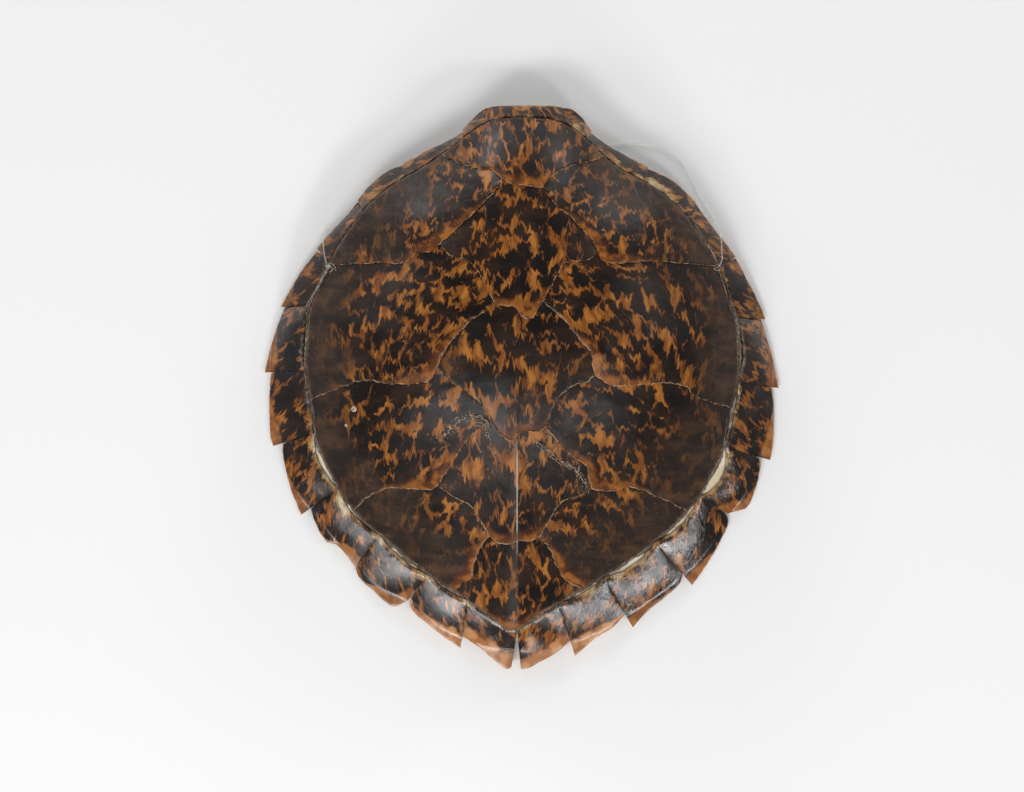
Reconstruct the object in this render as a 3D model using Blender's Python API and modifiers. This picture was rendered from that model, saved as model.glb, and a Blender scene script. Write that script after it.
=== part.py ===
"""Dried sea turtle shell: the bone carapace, its 38 horny scutes and what is fixed to them.

The shell lies the right way up on a table, head end towards +Y, tail towards -Y, +X to the right.
The origin is under the middle of its box. Plan dimensions are in millimetres.
"""
import functools
import math

import bmesh
import bpy
from mathutils import Vector
from mathutils.geometry import delaunay_2d_cdt

MM = 0.001

# ---- driving dimensions (millimetres) --------------------------------------------------------
CENTRE = (-3.0, 10.0)            # plan point where the spokes of the shell meet, on the keel
CROWN_HEIGHT = 81.5              # top of the shell over the centre, before the keel
CROWN_TILT = 0.10                # how much higher the shell stands in front of the centre
FULLNESS = 2.4                   # how long the arch stays high before it falls to the gutter
FULLNESS_FRONT = 0.65            # the front falls later and steeper, the rear sooner

SKIN_TUCKED = -0.3               # top of a scute where its neighbour lies over it
SKIN_FREE = 0.8                  # top of a scute at its free rear edge
SKIN_UNDER = -1.25               # underside of every scute
BONE_TOP = -2.2                  # outside of the bone
BONE_THICK = 3.4                 # bone wall
BONE_THICK_RIM = 2.0             # bone wall at its outer edge
SEAM_GAP = 0.4                   # between two scutes in plan
EVEN_OUT = 3.0                   # degrees over which the gutter and rim are evened out
SCUTE_PITCH = 12.0               # spacing of the points inside a scute
ROW_SPACING = 0.87               # spacing of their rows, as a share of the pitch
EDGE_CLEAR = 0.4                 # how far they keep from the outline, as a share of the pitch
CORNER_LIMIT = 0.35              # keeps the inset of a sharp corner short
ARC_STEP = 5.0                   # degrees between points along the gutter

KEEL_WIDTH = 22.0                # how far the ridge along the back spreads to each side
KEEL_REAR = 4.0                  # its height from the third vertebral scute to the tail
KEEL_FRONT = 0.8                 # its height at the nape
KEEL_RISES = (110.0, -15.0)      # y where it starts to rise, and where it is sharp and full
KEEL_TURN = 0.0296               # sideways lean of the keel in front of the centre
KEEL_ROUND_FRONT = 8.3           # rounding of its crest where it starts
KEEL_ROUND_REAR = 0.3            # and where it is sharp
TOOTH_EASE = 1.5                 # past the rim the teeth turn level within a few of these
NORMAL_STEP = 0.6                # distance over which the surface's slope is measured

BONE_SPOKES = 60
BONE_RINGS = (0.13, 0.26, 0.38, 0.49, 0.59, 0.68, 0.77, 0.86, 0.94, 1.0)
FLANGE_RINGS = (0.35, 0.7, 1.0)
SPINE_RIDGE = 2.5                # backbone under the keel, seen only from below
SPINE_WIDTH = 9.0
HALVINGS = 24                    # steps of the search for the bone's edge
RIM_PITCH = 15.0                 # longest side of a marginal's outer edge
BONE_EDGE_INSET = 3.2            # bone stops this far inside the rim, measured down the slope

HORN_CLEAR = 0.9                 # between the bone's edge and the horn wrapped round it
LIP = 0.9                        # horn on the underside of a marginal
LIP_BASE = -0.1                  # top of a marginal at its front seam, at the edge
RIM_STEP = 0.9                   # how much higher its rear edge stands over the next one
LIP_REACH = 0.45                 # how far in the horn wraps, as a share of the marginal's width
NOSE = 1.2                       # rounding of a marginal's outer edge
NOSE_LOWEST = 1.4                # its outer edge stays this far off the table

HOLE_RADIUS = 1.6                # drilled for the hanging line
DRILL_LENGTH = 24.0
HOLE_RIGHT = (123.5, 76.2)
HOLE_LEFT = (-121.5, 76.4)

LINE_RADIUS = 0.45               # nylon hanging line
KNOT_RADIUS = 1.9                # knots at its two ends
KNOT_RIGHT_LIFT = -8.6           # along the hole, under the bone
KNOT_LEFT_LIFT = 2.7             # along the hole, on the outside
BARNACLE_AT = (-105.0, -13.0)
BARNACLE_WIDTH = 3.8
BARNACLE_HEIGHT = 1.6
BARNACLE_LIFT = 1.0              # clear of the scute that it sits on

# ---- the gutter between costals and marginals, and the rim, as x, y, height ------------------
GUTTER = [
    (2, 171, 46), (24, 169, 44), (32, 165, 43), (41, 158, 42), (52, 147, 40), (68, 135, 39),
    (80, 130, 38), (92, 121, 37), (106, 107, 34), (115, 93, 32), (125, 78, 29), (133, 52, 26),
    (137, 44, 25), (138, 24, 23), (138, 4, 21), (134, -10, 19), (132, -23, 18), (129, -39, 17),
    (121, -54, 16), (113, -69, 16), (104, -80, 15.5), (87, -96, 15.5), (69, -109, 16),
    (54, -119, 17), (38, -128, 17.5), (24, -136, 19), (5, -147, 20.5), (-3, -157, 21),
    (-18, -146, 20.5), (-35, -134, 18.5), (-46, -127, 17.5), (-62, -117, 16.5), (-82, -100, 16),
    (-96, -89, 15.5), (-106, -79, 15.5), (-117, -64, 16), (-125, -48, 16), (-132, -30, 17.5),
    (-134, -8, 19.5), (-138, 11, 22), (-136, 31, 23.5), (-136, 50, 25.5), (-130, 62, 27),
    (-122, 80, 30.5), (-111, 98, 33.5), (-101, 112, 36), (-92, 121, 37.5), (-77, 132, 38.5),
    (-64, 139, 39.5), (-51, 148, 41), (-37, 158, 43), (-22, 169, 44.5), (-7, 171, 46),
]
RIM = [
    (2, 179, 32.5), (25, 177, 31), (34, 172, 28.5), (42, 161, 25), (62, 149, 21), (80, 140, 18.5),
    (97, 131, 16), (111, 118, 13.5), (123, 101, 11), (136, 83, 8.5), (147, 62, 6), (153, 43, 5),
    (158, 20, 4.2), (159, -1, 4), (158, -25, 4), (151, -45, 4), (142, -68, 4), (130, -81, 4),
    (119, -102, 4), (103, -120, 4.5), (84, -133, 5.5), (66, -146, 7), (48, -155, 8),
    (31, -162, 9.5), (12, -166, 10), (-3, -165, 10), (-18, -164, 10), (-36, -159, 9),
    (-54, -150, 7.5), (-71, -134, 6), (-90, -127, 5), (-105, -112, 4.5), (-119, -95, 4),
    (-133, -78, 4), (-145, -62, 4), (-151, -36, 4), (-159, -14, 4), (-160, 9, 4), (-157, 31, 4.2),
    (-152, 51, 5), (-142, 71, 7), (-131, 88, 9.5), (-118, 103, 11.5), (-103, 117, 14),
    (-90, 134, 17), (-75, 142, 19.5), (-58, 151, 22), (-38, 161, 25), (-30, 169, 28),
    (-20, 178, 31),
]

# ---- borders between the scutes on top, each from the midline outwards, in plan --------------
ACROSS = {
    "v1_v2": [(-11, 129.5), (-4, 127), (3, 126), (10, 125), (13, 125.5)],
    "v2_v3": [(-17.5, 53.5), (-11, 51), (-4, 50), (-1, 45), (3, 43), (7.5, 45), (10, 49), (13.5, 54)],
    "v3_v4": [(-19.5, -21), (-14.5, -28), (-10.5, -32), (-5.5, -33), (-3, -29.5), (2.5, -27.5),
              (10, -27), (15, -24.5)],
    "v4_v5": [(-20, -93.5), (-15, -97.5), (-5, -98), (-2.5, -96.5), (5, -96.5), (11.5, -93.5)],
}
BORDERS = {
    "left": {
        "v1_c1": [(-11, 129.5), (-20, 136), (-26, 137), (-38, 141), (-46, 144), (-51, 148)],
        "c1_v2": [(-11, 129.5), (-22, 117), (-40, 100), (-51, 90)],
        "c1_c2": [(-51, 90), (-57, 85), (-66, 84), (-71, 79), (-95, 78.5), (-122, 77)],
        "v2_c2": [(-17.5, 53.5), (-22, 62), (-32, 78), (-46, 83), (-51, 90)],
        "c2_v3": [(-17.5, 53.5), (-24, 47), (-32, 41.5), (-47, 24), (-53, 12.5)],
        "c2_c3": [(-53, 12.5), (-57.5, 5), (-65, 3), (-83, 2.5), (-102, 4.5), (-111, 1.5), (-134, -7.5)],
        "v3_c3": [(-19.5, -21), (-27, -9), (-45.5, 5), (-53, 12.5)],
        "c3_v4": [(-19.5, -21), (-27.5, -25.5), (-34, -32), (-47, -52), (-53, -61.5)],
        "c3_c4": [(-53, -61.5), (-58, -64.5), (-80, -63), (-90, -65), (-98, -70), (-107, -78)],
        "v4_c4": [(-20, -93.5), (-24, -88), (-31.5, -75), (-42, -69), (-53, -61.5)],
        "c4_v5": [(-20, -93.5), (-26, -100), (-31, -114), (-32.5, -120.5), (-37.5, -124.5), (-43, -129)],
    },
    "right": {
        "v1_c1": [(13, 125.5), (20, 133), (31, 139), (40, 141.5), (48, 144), (52, 147)],
        "c1_v2": [(13, 125.5), (23, 112), (28, 109), (36, 100), (44, 92), (47.5, 83.5)],
        "c1_c2": [(47.5, 83.5), (51, 79), (56, 77.5), (83, 79.5), (103, 78), (125, 77)],
        "v2_c2": [(13.5, 54), (17.5, 62), (27, 77), (41, 80), (47.5, 83.5)],
        "c2_v3": [(13.5, 54), (20.5, 47), (36, 30), (43.5, 21), (43.5, 13.5), (45.5, 8)],
        "c2_c3": [(45.5, 8), (51, 3.5), (58, 1.5), (76, 2), (92, 3), (103, 0.5), (109, -5), (132, -13)],
        "v3_c3": [(15, -24.5), (22, -7), (34, 2), (41, 3.5), (45.5, 8)],
        "c3_v4": [(15, -24.5), (27.5, -40), (40, -49), (41.5, -56.5), (44, -63.5)],
        "c3_c4": [(44, -63.5), (52, -65), (60, -65), (66, -62.5), (86, -69), (106, -79)],
        "v4_c4": [(11.5, -93.5), (16, -86), (25, -72.5), (36.5, -68), (44, -63.5)],
        "c4_v5": [(11.5, -93.5), (17, -101.5), (24, -117), (28, -122.5), (35, -126), (38, -128.5)],
    },
}

# ---- marginal scutes: gutter end of each front seam, outer edge, and bare bone beside it ------
NUCHAL_EDGE = [(-22, 178), (-19.5, 179), (-7.5, 179.5), (8, 179.2), (20, 179), (25, 178)]
TAIL_SEAM = (-3, -157)
MARGINALS = {
    "right": [
        ((32, 165), [(26, 178), (32, 177), (38, 172), (44, 163)], 0.6),
        ((41, 159), [(44, 162.5), (54, 155), (66, 148), (79.5, 141)], 0.6),
        ((80, 130), [(80, 140), (88, 136.5), (97, 131.5), (110.5, 118.5)], 1.0),
        ((106, 108), [(111, 118), (118, 108), (128, 95), (136.5, 83.5)], 0.8),
        ((126, 80), [(137, 83), (145, 68), (152, 54), (156, 44)], 1.0),
        ((137, 45), [(153.5, 43.5), (157, 32), (161, 17), (164.5, 0)], 2.4),
        ((139, 4), [(160, 0), (161, -5), (161, -33), (159, -46)], 2.5),
        ((133, -39), [(152, -45), (153, -49), (146, -74), (143, -77), (132, -80)], 6.0),
        ((115, -71), [(130.5, -80), (132.5, -85), (128, -96), (119, -112), (109, -126)], 3.5),
        ((87, -100), [(103, -119.5), (101, -125), (90, -135), (80, -143), (71, -153)], 4.5),
        ((54, -124), [(66, -145), (58, -153), (47, -160), (34, -171)], 3.0),
        ((24, -138), [(31, -161.5), (22, -169), (11.5, -175), (4, -179), (-0.5, -179.5)], 1.0),
    ],
    "left": [
        ((-24, 168), [(-22.5, 178), (-27, 175), (-33, 169), (-37, 164)], 0.6),
        ((-37, 158), [(-37.5, 163), (-42, 160), (-58, 152), (-74.5, 143)], 0.6),
        ((-77, 132), [(-75.5, 142), (-84.5, 139), (-96, 130), (-104, 120)], 0.8),
        ((-101, 112), [(-105, 119), (-112, 110), (-122, 99), (-130.5, 89)], 0.8),
        ((-122, 81), [(-131, 87.5), (-140, 76), (-147.5, 63.5), (-154, 52)], 1.0),
        ((-136, 53), [(-152, 51.5), (-157, 38), (-161.5, 23), (-164.5, 10)], 2.4),
        ((-138, 11), [(-160.5, 9.5), (-161.5, -1), (-161.5, -17), (-160.5, -32), (-159, -37)], 1.0),
        ((-132, -29), [(-153, -36), (-153, -42), (-149, -60), (-144.5, -73.5), (-141, -81)], 3.5),
        ((-117, -64), [(-135, -77), (-133.5, -83), (-125, -98), (-118, -100.5), (-106.5, -114)], 2.6),
        ((-97, -100), [(-106.5, -114.5), (-104, -121), (-94.5, -130), (-82, -139.5), (-72.5, -135.5)], 3.4),
        ((-62, -125), [(-72, -135.5), (-70, -142), (-58.5, -152), (-46.5, -161), (-39, -166)], 2.4),
        ((-35, -135), [(-37.5, -159), (-28, -165), (-17, -174), (-9, -179.5), (-6.5, -178)], 1.0),
    ],
}
SEAM_BARE = 0.6                  # bare bone at a seam

# route of the hanging line over the rim, along the table and back up, as x, y, z
LINE_ROUTE = [
    (121.2, 75.5, 25.5), (122.4, 75.8, 28.4), (123.5, 76.2, 31.1), (124.2, 76.5, 33.0),
    (124.8, 77.2, 34.4), (125.5, 78.4, 35.0), (126.2, 79.9, 34.3), (126.8, 81.5, 32.1),
    (127.0, 83.3, 29.0),
    (127.0, 86.6, 23.6), (127.1, 90.8, 18.6), (127.1, 94.6, 14.6), (126.8, 97.8, 11.2),
    (126.2, 100.8, 7.4), (125.0, 103.8, 3.8), (123.0, 107.2, 1.5), (120.0, 112.0, 0.7),
    (114.5, 121.0, 0.6), (107.5, 134.0, 0.6), (102.0, 144.0, 0.6), (94.0, 150.5, 0.6),
    (82.0, 154.5, 0.6), (68.0, 156.0, 0.6), (48.0, 153.5, 0.6), (24.0, 147.0, 0.6),
    (-34.0, 129.0, 0.6), (-92.0, 111.5, 0.6), (-113.0, 105.0, 0.6), (-119.5, 103.0, 1.0),
    (-123.8, 101.4, 2.8), (-126.2, 99.4, 5.8), (-126.8, 97.0, 9.4), (-126.6, 94.2, 13.4),
    (-126.2, 90.8, 18.0), (-125.7, 86.8, 22.9), (-124.9, 82.6, 27.7), (-123.6, 79.0, 32.0),
]


# ---- the surface of the shell ----------------------------------------------------------------
def angle_of(x, y):
    return math.degrees(math.atan2(y - CENTRE[1], x - CENTRE[0])) % 360


def make_ring(points):
    """Angle, radius and height of each point, in order of angle, with the ends repeated."""
    ring = sorted((angle_of(x, y), math.hypot(x - CENTRE[0], y - CENTRE[1]), z) for x, y, z in points)
    before = [(a - 360, r, z) for a, r, z in ring[-2:]]
    after = [(a + 360, r, z) for a, r, z in ring[:2]]
    return before + ring + after


def through_points(ring, angle):
    """Radius and height at an angle, on a smooth curve through a ring's points."""
    k = 1
    while ring[k + 1][0] < angle:
        k += 1
    (a0, *p0), (a1, *p1), (a2, *p2), (a3, *p3) = ring[k - 1:k + 3]
    t = (angle - a1) / (a2 - a1)
    values = []
    for v0, v1, v2, v3 in zip(p0, p1, p2, p3):
        slope1 = (v2 - v0) / (a2 - a0) * (a2 - a1)
        slope2 = (v3 - v1) / (a3 - a1) * (a2 - a1)
        values.append((2 * t ** 3 - 3 * t ** 2 + 1) * v1 + (t ** 3 - 2 * t ** 2 + t) * slope1
                      + (3 * t ** 2 - 2 * t ** 3) * v2 + (t ** 3 - t ** 2) * slope2)
    return values


@functools.lru_cache(maxsize=None)
def ring_at(name, angle):
    """Radius and height of the gutter or the rim, evened out over a few degrees."""
    ring = RINGS[name]
    before = through_points(ring, (angle - EVEN_OUT) % 360)
    after = through_points(ring, (angle + EVEN_OUT) % 360)
    here = through_points(ring, angle % 360)
    return [(a + 2 * b + c) / 4 for a, b, c in zip(before, here, after)]


RINGS = {"gutter": make_ring(GUTTER), "rim": make_ring(RIM)}


def keel_x(y):
    return CENTRE[0] + max(0.0, y - CENTRE[1]) * KEEL_TURN


def on_keel(x, y):
    return abs(x - keel_x(y)) < 0.05


def keel_height(x, y, share):
    """Ridge along the back: soft at the nape, sharp behind, gone at the gutter."""
    start, full = KEEL_RISES
    rise = min(1.0, max(0.0, (start - y) / (start - full)))
    height = KEEL_FRONT + (KEEL_REAR - KEEL_FRONT) * rise
    rounding = KEEL_ROUND_FRONT + (KEEL_ROUND_REAR - KEEL_ROUND_FRONT) * rise
    sideways = math.hypot(x - keel_x(y), rounding) - rounding
    return height * math.exp(-sideways / KEEL_WIDTH) * (1 - share ** 4)


def shell_height(x, y):
    """Height of the outer surface over a plan point."""
    angle = angle_of(x, y)
    radius = math.hypot(x - CENTRE[0], y - CENTRE[1])
    gutter_r, gutter_z = ring_at("gutter", angle)
    if radius <= gutter_r:
        share = radius / gutter_r
        fullness = FULLNESS + FULLNESS_FRONT * math.sin(math.radians(angle))
        arch = gutter_z + (CROWN_HEIGHT - gutter_z) * (1 - share ** fullness)
        return arch + CROWN_TILT * (y - CENTRE[1]) * (1 - share ** 2) + keel_height(x, y, share)
    rim_r, rim_z = ring_at("rim", angle)
    slope = (gutter_z - rim_z) / (rim_r - gutter_r)
    if radius <= rim_r:
        return gutter_z - slope * (radius - gutter_r)
    return rim_z - slope * TOOTH_EASE * (1 - math.exp((rim_r - radius) / TOOTH_EASE))


def shell_normal(x, y):
    step = NORMAL_STEP
    slope_x = (shell_height(x + step, y) - shell_height(x - step, y)) / (2 * step)
    slope_y = (shell_height(x, y + step) - shell_height(x, y - step)) / (2 * step)
    return Vector((-slope_x, -slope_y, 1)).normalized()


def shell_point(x, y, lift):
    """Point on the shell, lifted off its surface along the normal."""
    return Vector((x, y, shell_height(x, y))) + shell_normal(x, y) * lift


def on_spoke(angle, radius):
    a = math.radians(angle)
    return (CENTRE[0] + radius * math.cos(a), CENTRE[1] + radius * math.sin(a))


def bone_edge_radius(angle):
    """Radius where the bone ends, inside the horn of the rim."""
    gutter_r, gutter_z = ring_at("gutter", angle)
    rim_r, rim_z = ring_at("rim", angle)
    slope_length = math.hypot(rim_r - gutter_r, rim_z - gutter_z)
    return gutter_r + (rim_r - gutter_r) * (1 - BONE_EDGE_INSET / slope_length)


# ---- scene helpers ---------------------------------------------------------------------------
def clear_scene():
    for obj in list(bpy.data.objects):
        bpy.data.objects.remove(obj, do_unlink=True)


def make_collection(name):
    collection = bpy.data.collections.new(name)
    bpy.context.scene.collection.children.link(collection)
    return collection


def make_material(name, colour, roughness):
    material = bpy.data.materials.new(name)
    material.use_nodes = True
    shader = material.node_tree.nodes["Principled BSDF"]
    shader.inputs["Base Color"].default_value = (*colour, 1.0)
    shader.inputs["Roughness"].default_value = roughness
    shader.inputs["Metallic"].default_value = 0.0
    return material


def make_object(name, bm, material, collection, sharp=35):
    """Turn a bmesh in millimetres into a smooth-shaded object in metres."""
    bmesh.ops.scale(bm, vec=(MM, MM, MM), verts=bm.verts)
    bmesh.ops.recalc_face_normals(bm, faces=bm.faces)
    if bm.calc_volume(signed=True) < 0:
        bmesh.ops.reverse_faces(bm, faces=bm.faces)
    mesh = bpy.data.meshes.new(name)
    bm.to_mesh(mesh)
    bm.free()
    mesh.shade_smooth()
    mesh.set_sharp_from_angle(angle=math.radians(sharp))
    obj = bpy.data.objects.new(name, mesh)
    obj.data.materials.append(material)
    collection.objects.link(obj)
    return obj


# ---- bone ------------------------------------------------------------------------------------
def bone_section(angle):
    """Plan radius and wall thickness, from the centre out to the edge."""
    gutter_r = ring_at("gutter", angle)[0]
    edge_r = bone_edge_radius(angle)
    stations = []
    for share in BONE_RINGS:
        sideways = share * gutter_r * math.cos(math.radians(angle))
        ridge = SPINE_RIDGE * math.exp(-(sideways / SPINE_WIDTH) ** 2) * (1 - share ** 4)
        stations.append((share * gutter_r, BONE_THICK + ridge))
    for share in FLANGE_RINGS:
        thick = BONE_THICK + (BONE_THICK_RIM - BONE_THICK) * share
        stations.append((gutter_r + share * (edge_r - gutter_r), thick))
    return stations


def bone_points(spoke):
    """Points down the outside of one spoke and back up its inside."""
    angle = spoke * 360 / BONE_SPOKES
    if angle == 90:
        angle = angle_of(keel_x(CENTRE[1] + 100), CENTRE[1] + 100)
    outside = []
    inside = []
    for radius, thick in bone_section(angle):
        x, y = on_spoke(angle, radius)
        outside.append(shell_point(x, y, BONE_TOP))
        inside.append(shell_point(x, y, BONE_TOP - thick))
    return outside + inside[::-1]


def build_bone(material, collection):
    bm = bmesh.new()
    rings = [[bm.verts.new(p) for p in bone_points(spoke)] for spoke in range(BONE_SPOKES)]
    top = bm.verts.new(shell_point(*CENTRE, BONE_TOP))
    bottom = bm.verts.new(shell_point(*CENTRE, BONE_TOP - BONE_THICK - SPINE_RIDGE))
    for spoke in range(BONE_SPOKES):
        here = rings[spoke]
        there = rings[(spoke + 1) % BONE_SPOKES]
        bm.faces.new((top, here[0], there[0]))
        bm.faces.new((bottom, there[-1], here[-1]))
        for k in range(len(here) - 1):
            bm.faces.new((here[k], here[k + 1], there[k + 1], there[k]))
    return make_object("carapace_bone", bm, material, collection)


# ---- scutes on top ---------------------------------------------------------------------------
def to_gutter(point):
    """Move a plan point along its spoke onto the gutter."""
    angle = angle_of(*point)
    return on_spoke(angle, ring_at("gutter", angle)[0])


def gutter_arc(start, end):
    """Points along the gutter between two plan points, by the shorter way, ends left out."""
    first = angle_of(*start)
    turn = (angle_of(*end) - first + 180) % 360 - 180
    steps = max(1, round(abs(turn) / ARC_STEP))
    angles = [(first + turn * k / steps) % 360 for k in range(1, steps)]
    return [on_spoke(a, ring_at("gutter", a)[0]) for a in angles]


def border(name, side=None):
    points = ACROSS[name] if side is None else BORDERS[side][name]
    points = [tuple(p) for p in points]
    if name in ("v1_c1", "c1_c2", "c2_c3", "c3_c4", "c4_v5"):
        points[-1] = to_gutter(points[-1])
    return points


def chain(*runs):
    """Join runs of points into one closed outline, turning a run round where its end fits."""
    outline = list(runs[0])
    for run in runs[1:]:
        ahead = math.dist(outline[-1], run[0])
        behind = math.dist(outline[-1], run[-1])
        outline += list(run)[1:] if ahead < behind else list(run)[::-1][1:]
    if math.dist(outline[0], outline[-1]) < 0.01:
        outline.pop()
    return outline


def area_sign(outline):
    pairs = zip(outline, outline[1:] + outline[:1])
    return sum(a[0] * b[1] - b[0] * a[1] for a, b in pairs)


def inset(outline, gap):
    """Pull a counter-clockwise outline inwards by the gap, with sharp corners kept short."""
    result = []
    count = len(outline)
    for k, (x, y) in enumerate(outline):
        to_prev = Vector((x - outline[k - 1][0], y - outline[k - 1][1])).normalized()
        to_next = Vector((outline[(k + 1) % count][0] - x, outline[(k + 1) % count][1] - y)).normalized()
        inward = Vector((-to_prev.y - to_next.y, to_prev.x + to_next.x))
        bisector = inward.normalized()
        reach = bisector.dot(Vector((-to_prev.y, to_prev.x)))
        shift = bisector * gap / max(reach, CORNER_LIMIT)
        result.append((x + shift.x, y + shift.y))
    return result


def divided(outline, pitch):
    """Add points so that no side is longer than the pitch, and one where the keel crosses."""
    result = []
    for a, b in zip(outline, outline[1:] + outline[:1]):
        result.append(a)
        side_a = a[0] - keel_x(a[1])
        side_b = b[0] - keel_x(b[1])
        steps = math.ceil(math.dist(a, b) / pitch)
        shares = [k / steps for k in range(1, steps)]
        if side_a * side_b < 0:
            crossing = side_a / (side_a - side_b)
            shares = [s for s in shares if abs(s - crossing) * math.dist(a, b) > 3] + [crossing]
        for s in sorted(shares):
            result.append((a[0] + (b[0] - a[0]) * s, a[1] + (b[1] - a[1]) * s))
    return result


def distance_to(point, runs):
    """Shortest distance from a point to any side of the runs."""
    best = 1e9
    p = Vector(point)
    for run in runs:
        for a, b in zip(run, run[1:]):
            a = Vector(a)
            side = Vector(b) - a
            share = max(0.0, min(1.0, (p - a).dot(side) / side.length_squared))
            best = min(best, (p - a - side * share).length)
    return best


def inside(point, outline):
    """Whether a point is inside an outline, by counting the sides it looks across."""
    x, y = point
    hits = 0
    for (x1, y1), (x2, y2) in zip(outline, outline[1:] + outline[:1]):
        if (y1 > y) != (y2 > y) and x < (x2 - x1) * (y - y1) / (y2 - y1) + x1:
            hits += 1
    return hits % 2 == 1


def inner_points(outline, pitch, with_keel):
    """Staggered points inside an outline, and a row of them on the keel."""
    closed = [outline + outline[:1]]
    xs, ys = zip(*outline)
    clear = EDGE_CLEAR * pitch
    points = []
    row = 0
    y = min(ys)
    while y < max(ys):
        x = min(xs) + (pitch / 2 if row % 2 else 0)
        while x < max(xs):
            off_keel = not with_keel or abs(x - keel_x(y)) > clear
            if off_keel and inside((x, y), outline) and distance_to((x, y), closed) > clear:
                points.append((x, y))
            x += pitch
        y += pitch * ROW_SPACING
        row += 1
    if with_keel:
        crossings = sorted(y for x, y in outline if on_keel(x, y))
        low, high = crossings[0], crossings[-1]
        steps = round((high - low) / pitch)
        for k in range(1, steps):
            y = low + (high - low) * k / steps
            points.append((keel_x(y), y))
    return points


def build_scute(name, outline, tucked, free, material, collection):
    """Horny plate: low where it is tucked under its neighbours, high at its free edges."""
    if area_sign(outline) < 0:
        outline = outline[::-1]
    outline = divided(inset(outline, SEAM_GAP / 2), SCUTE_PITCH)
    with_keel = name.startswith("vertebral")
    plan = outline + inner_points(outline, SCUTE_PITCH, with_keel)
    ring = list(range(len(outline)))
    crest = []
    if with_keel:
        crest = sorted((k for k, p in enumerate(plan) if on_keel(*p)), key=lambda k: plan[k][1])
    sides = list(zip(crest, crest[1:]))
    verts, _, faces, *_ = delaunay_2d_cdt([Vector(p) for p in plan], sides, [ring], 1, 1e-4)

    bm = bmesh.new()
    top = []
    under = []
    for v in verts:
        to_tucked = distance_to(v, tucked)
        share = to_tucked / (to_tucked + distance_to(v, free))
        lift = SKIN_TUCKED + (SKIN_FREE - SKIN_TUCKED) * share
        top.append(bm.verts.new(shell_point(v.x, v.y, lift)))
        under.append(bm.verts.new(shell_point(v.x, v.y, SKIN_UNDER)))
    edges = {}
    for face in faces:
        bm.faces.new([top[k] for k in face])
        bm.faces.new([under[k] for k in face][::-1])
        for a, b in zip(face, face[1:] + face[:1]):
            edges[(a, b)] = edges.get((a, b), 0) + 1
    for a, b in edges:
        if (b, a) not in edges:
            bm.faces.new((top[b], top[a], under[a], under[b]))
    return make_object(name, bm, material, collection)


def scute_plans():
    """Name, outline, tucked borders and free borders of the scutes on top."""
    left = {name: border(name, "left") for name in BORDERS["left"]}
    right = {name: border(name, "right") for name in BORDERS["right"]}
    across = {name: border(name) for name in ACROSS}

    def arc(first, last):
        return [first] + gutter_arc(first, last) + [last]

    nape = arc(left["v1_c1"][-1], right["v1_c1"][-1])
    tail = arc(left["c4_v5"][-1], right["c4_v5"][-1])
    plans = [("vertebral_scute_1", chain(nape, right["v1_c1"], across["v1_v2"], left["v1_c1"]),
              [nape], [left["v1_c1"], right["v1_c1"], across["v1_v2"]])]
    for k in (2, 3, 4):
        ahead = across[f"v{k - 1}_v{k}"]
        behind = across[f"v{k}_v{k + 1}"]
        outline = chain(ahead, right[f"c{k - 1}_v{k}"], right[f"v{k}_c{k}"], behind,
                        left[f"v{k}_c{k}"], left[f"c{k - 1}_v{k}"])
        plans.append((f"vertebral_scute_{k}", outline,
                      [ahead, left[f"c{k - 1}_v{k}"], right[f"c{k - 1}_v{k}"]],
                      [behind, left[f"v{k}_c{k}"], right[f"v{k}_c{k}"]]))
    ahead = across["v4_v5"]
    plans.append(("vertebral_scute_5", chain(ahead, right["c4_v5"], tail, left["c4_v5"]),
                  [ahead, left["c4_v5"], right["c4_v5"]], [tail]))
    for side, lines in (("left", left), ("right", right)):
        for k in (1, 2, 3, 4):
            front = lines["v1_c1"] if k == 1 else lines[f"c{k - 1}_c{k}"]
            rear = lines["c4_v5"] if k == 4 else lines[f"c{k}_c{k + 1}"]
            tucked = [front] if k == 1 else [front, lines[f"v{k}_c{k}"]]
            free = [rear] if k == 4 else [rear, lines[f"c{k}_v{k + 1}"]]
            runs = [front[::-1]]
            runs += [] if k == 1 else [lines[f"v{k}_c{k}"]]
            runs += [] if k == 4 else [lines[f"c{k}_v{k + 1}"]]
            outline = chain(*runs, rear, arc(rear[-1], front[-1]))
            plans.append((f"costal_scute_{side}_{k}", outline, tucked, free))
    return plans


# ---- scutes round the rim --------------------------------------------------------------------
def edge_share(inner, outer):
    """How far along a seam line the bone ends."""
    low, high = 0.0, 1.0
    for _ in range(HALVINGS):
        share = (low + high) / 2
        x = inner[0] + (outer[0] - inner[0]) * share
        y = inner[1] + (outer[1] - inner[1]) * share
        radius = math.hypot(x - CENTRE[0], y - CENTRE[1])
        low, high = (low, share) if radius > bone_edge_radius(angle_of(x, y)) else (share, high)
    return low


# the hooked end of a marginal scute, as faces between the corners of its section
END_FACES = ((0, 1, 9, 10), (1, 2, 3, 9), (3, 4, 8, 9), (4, 5, 8), (5, 6, 7, 8))


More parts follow.
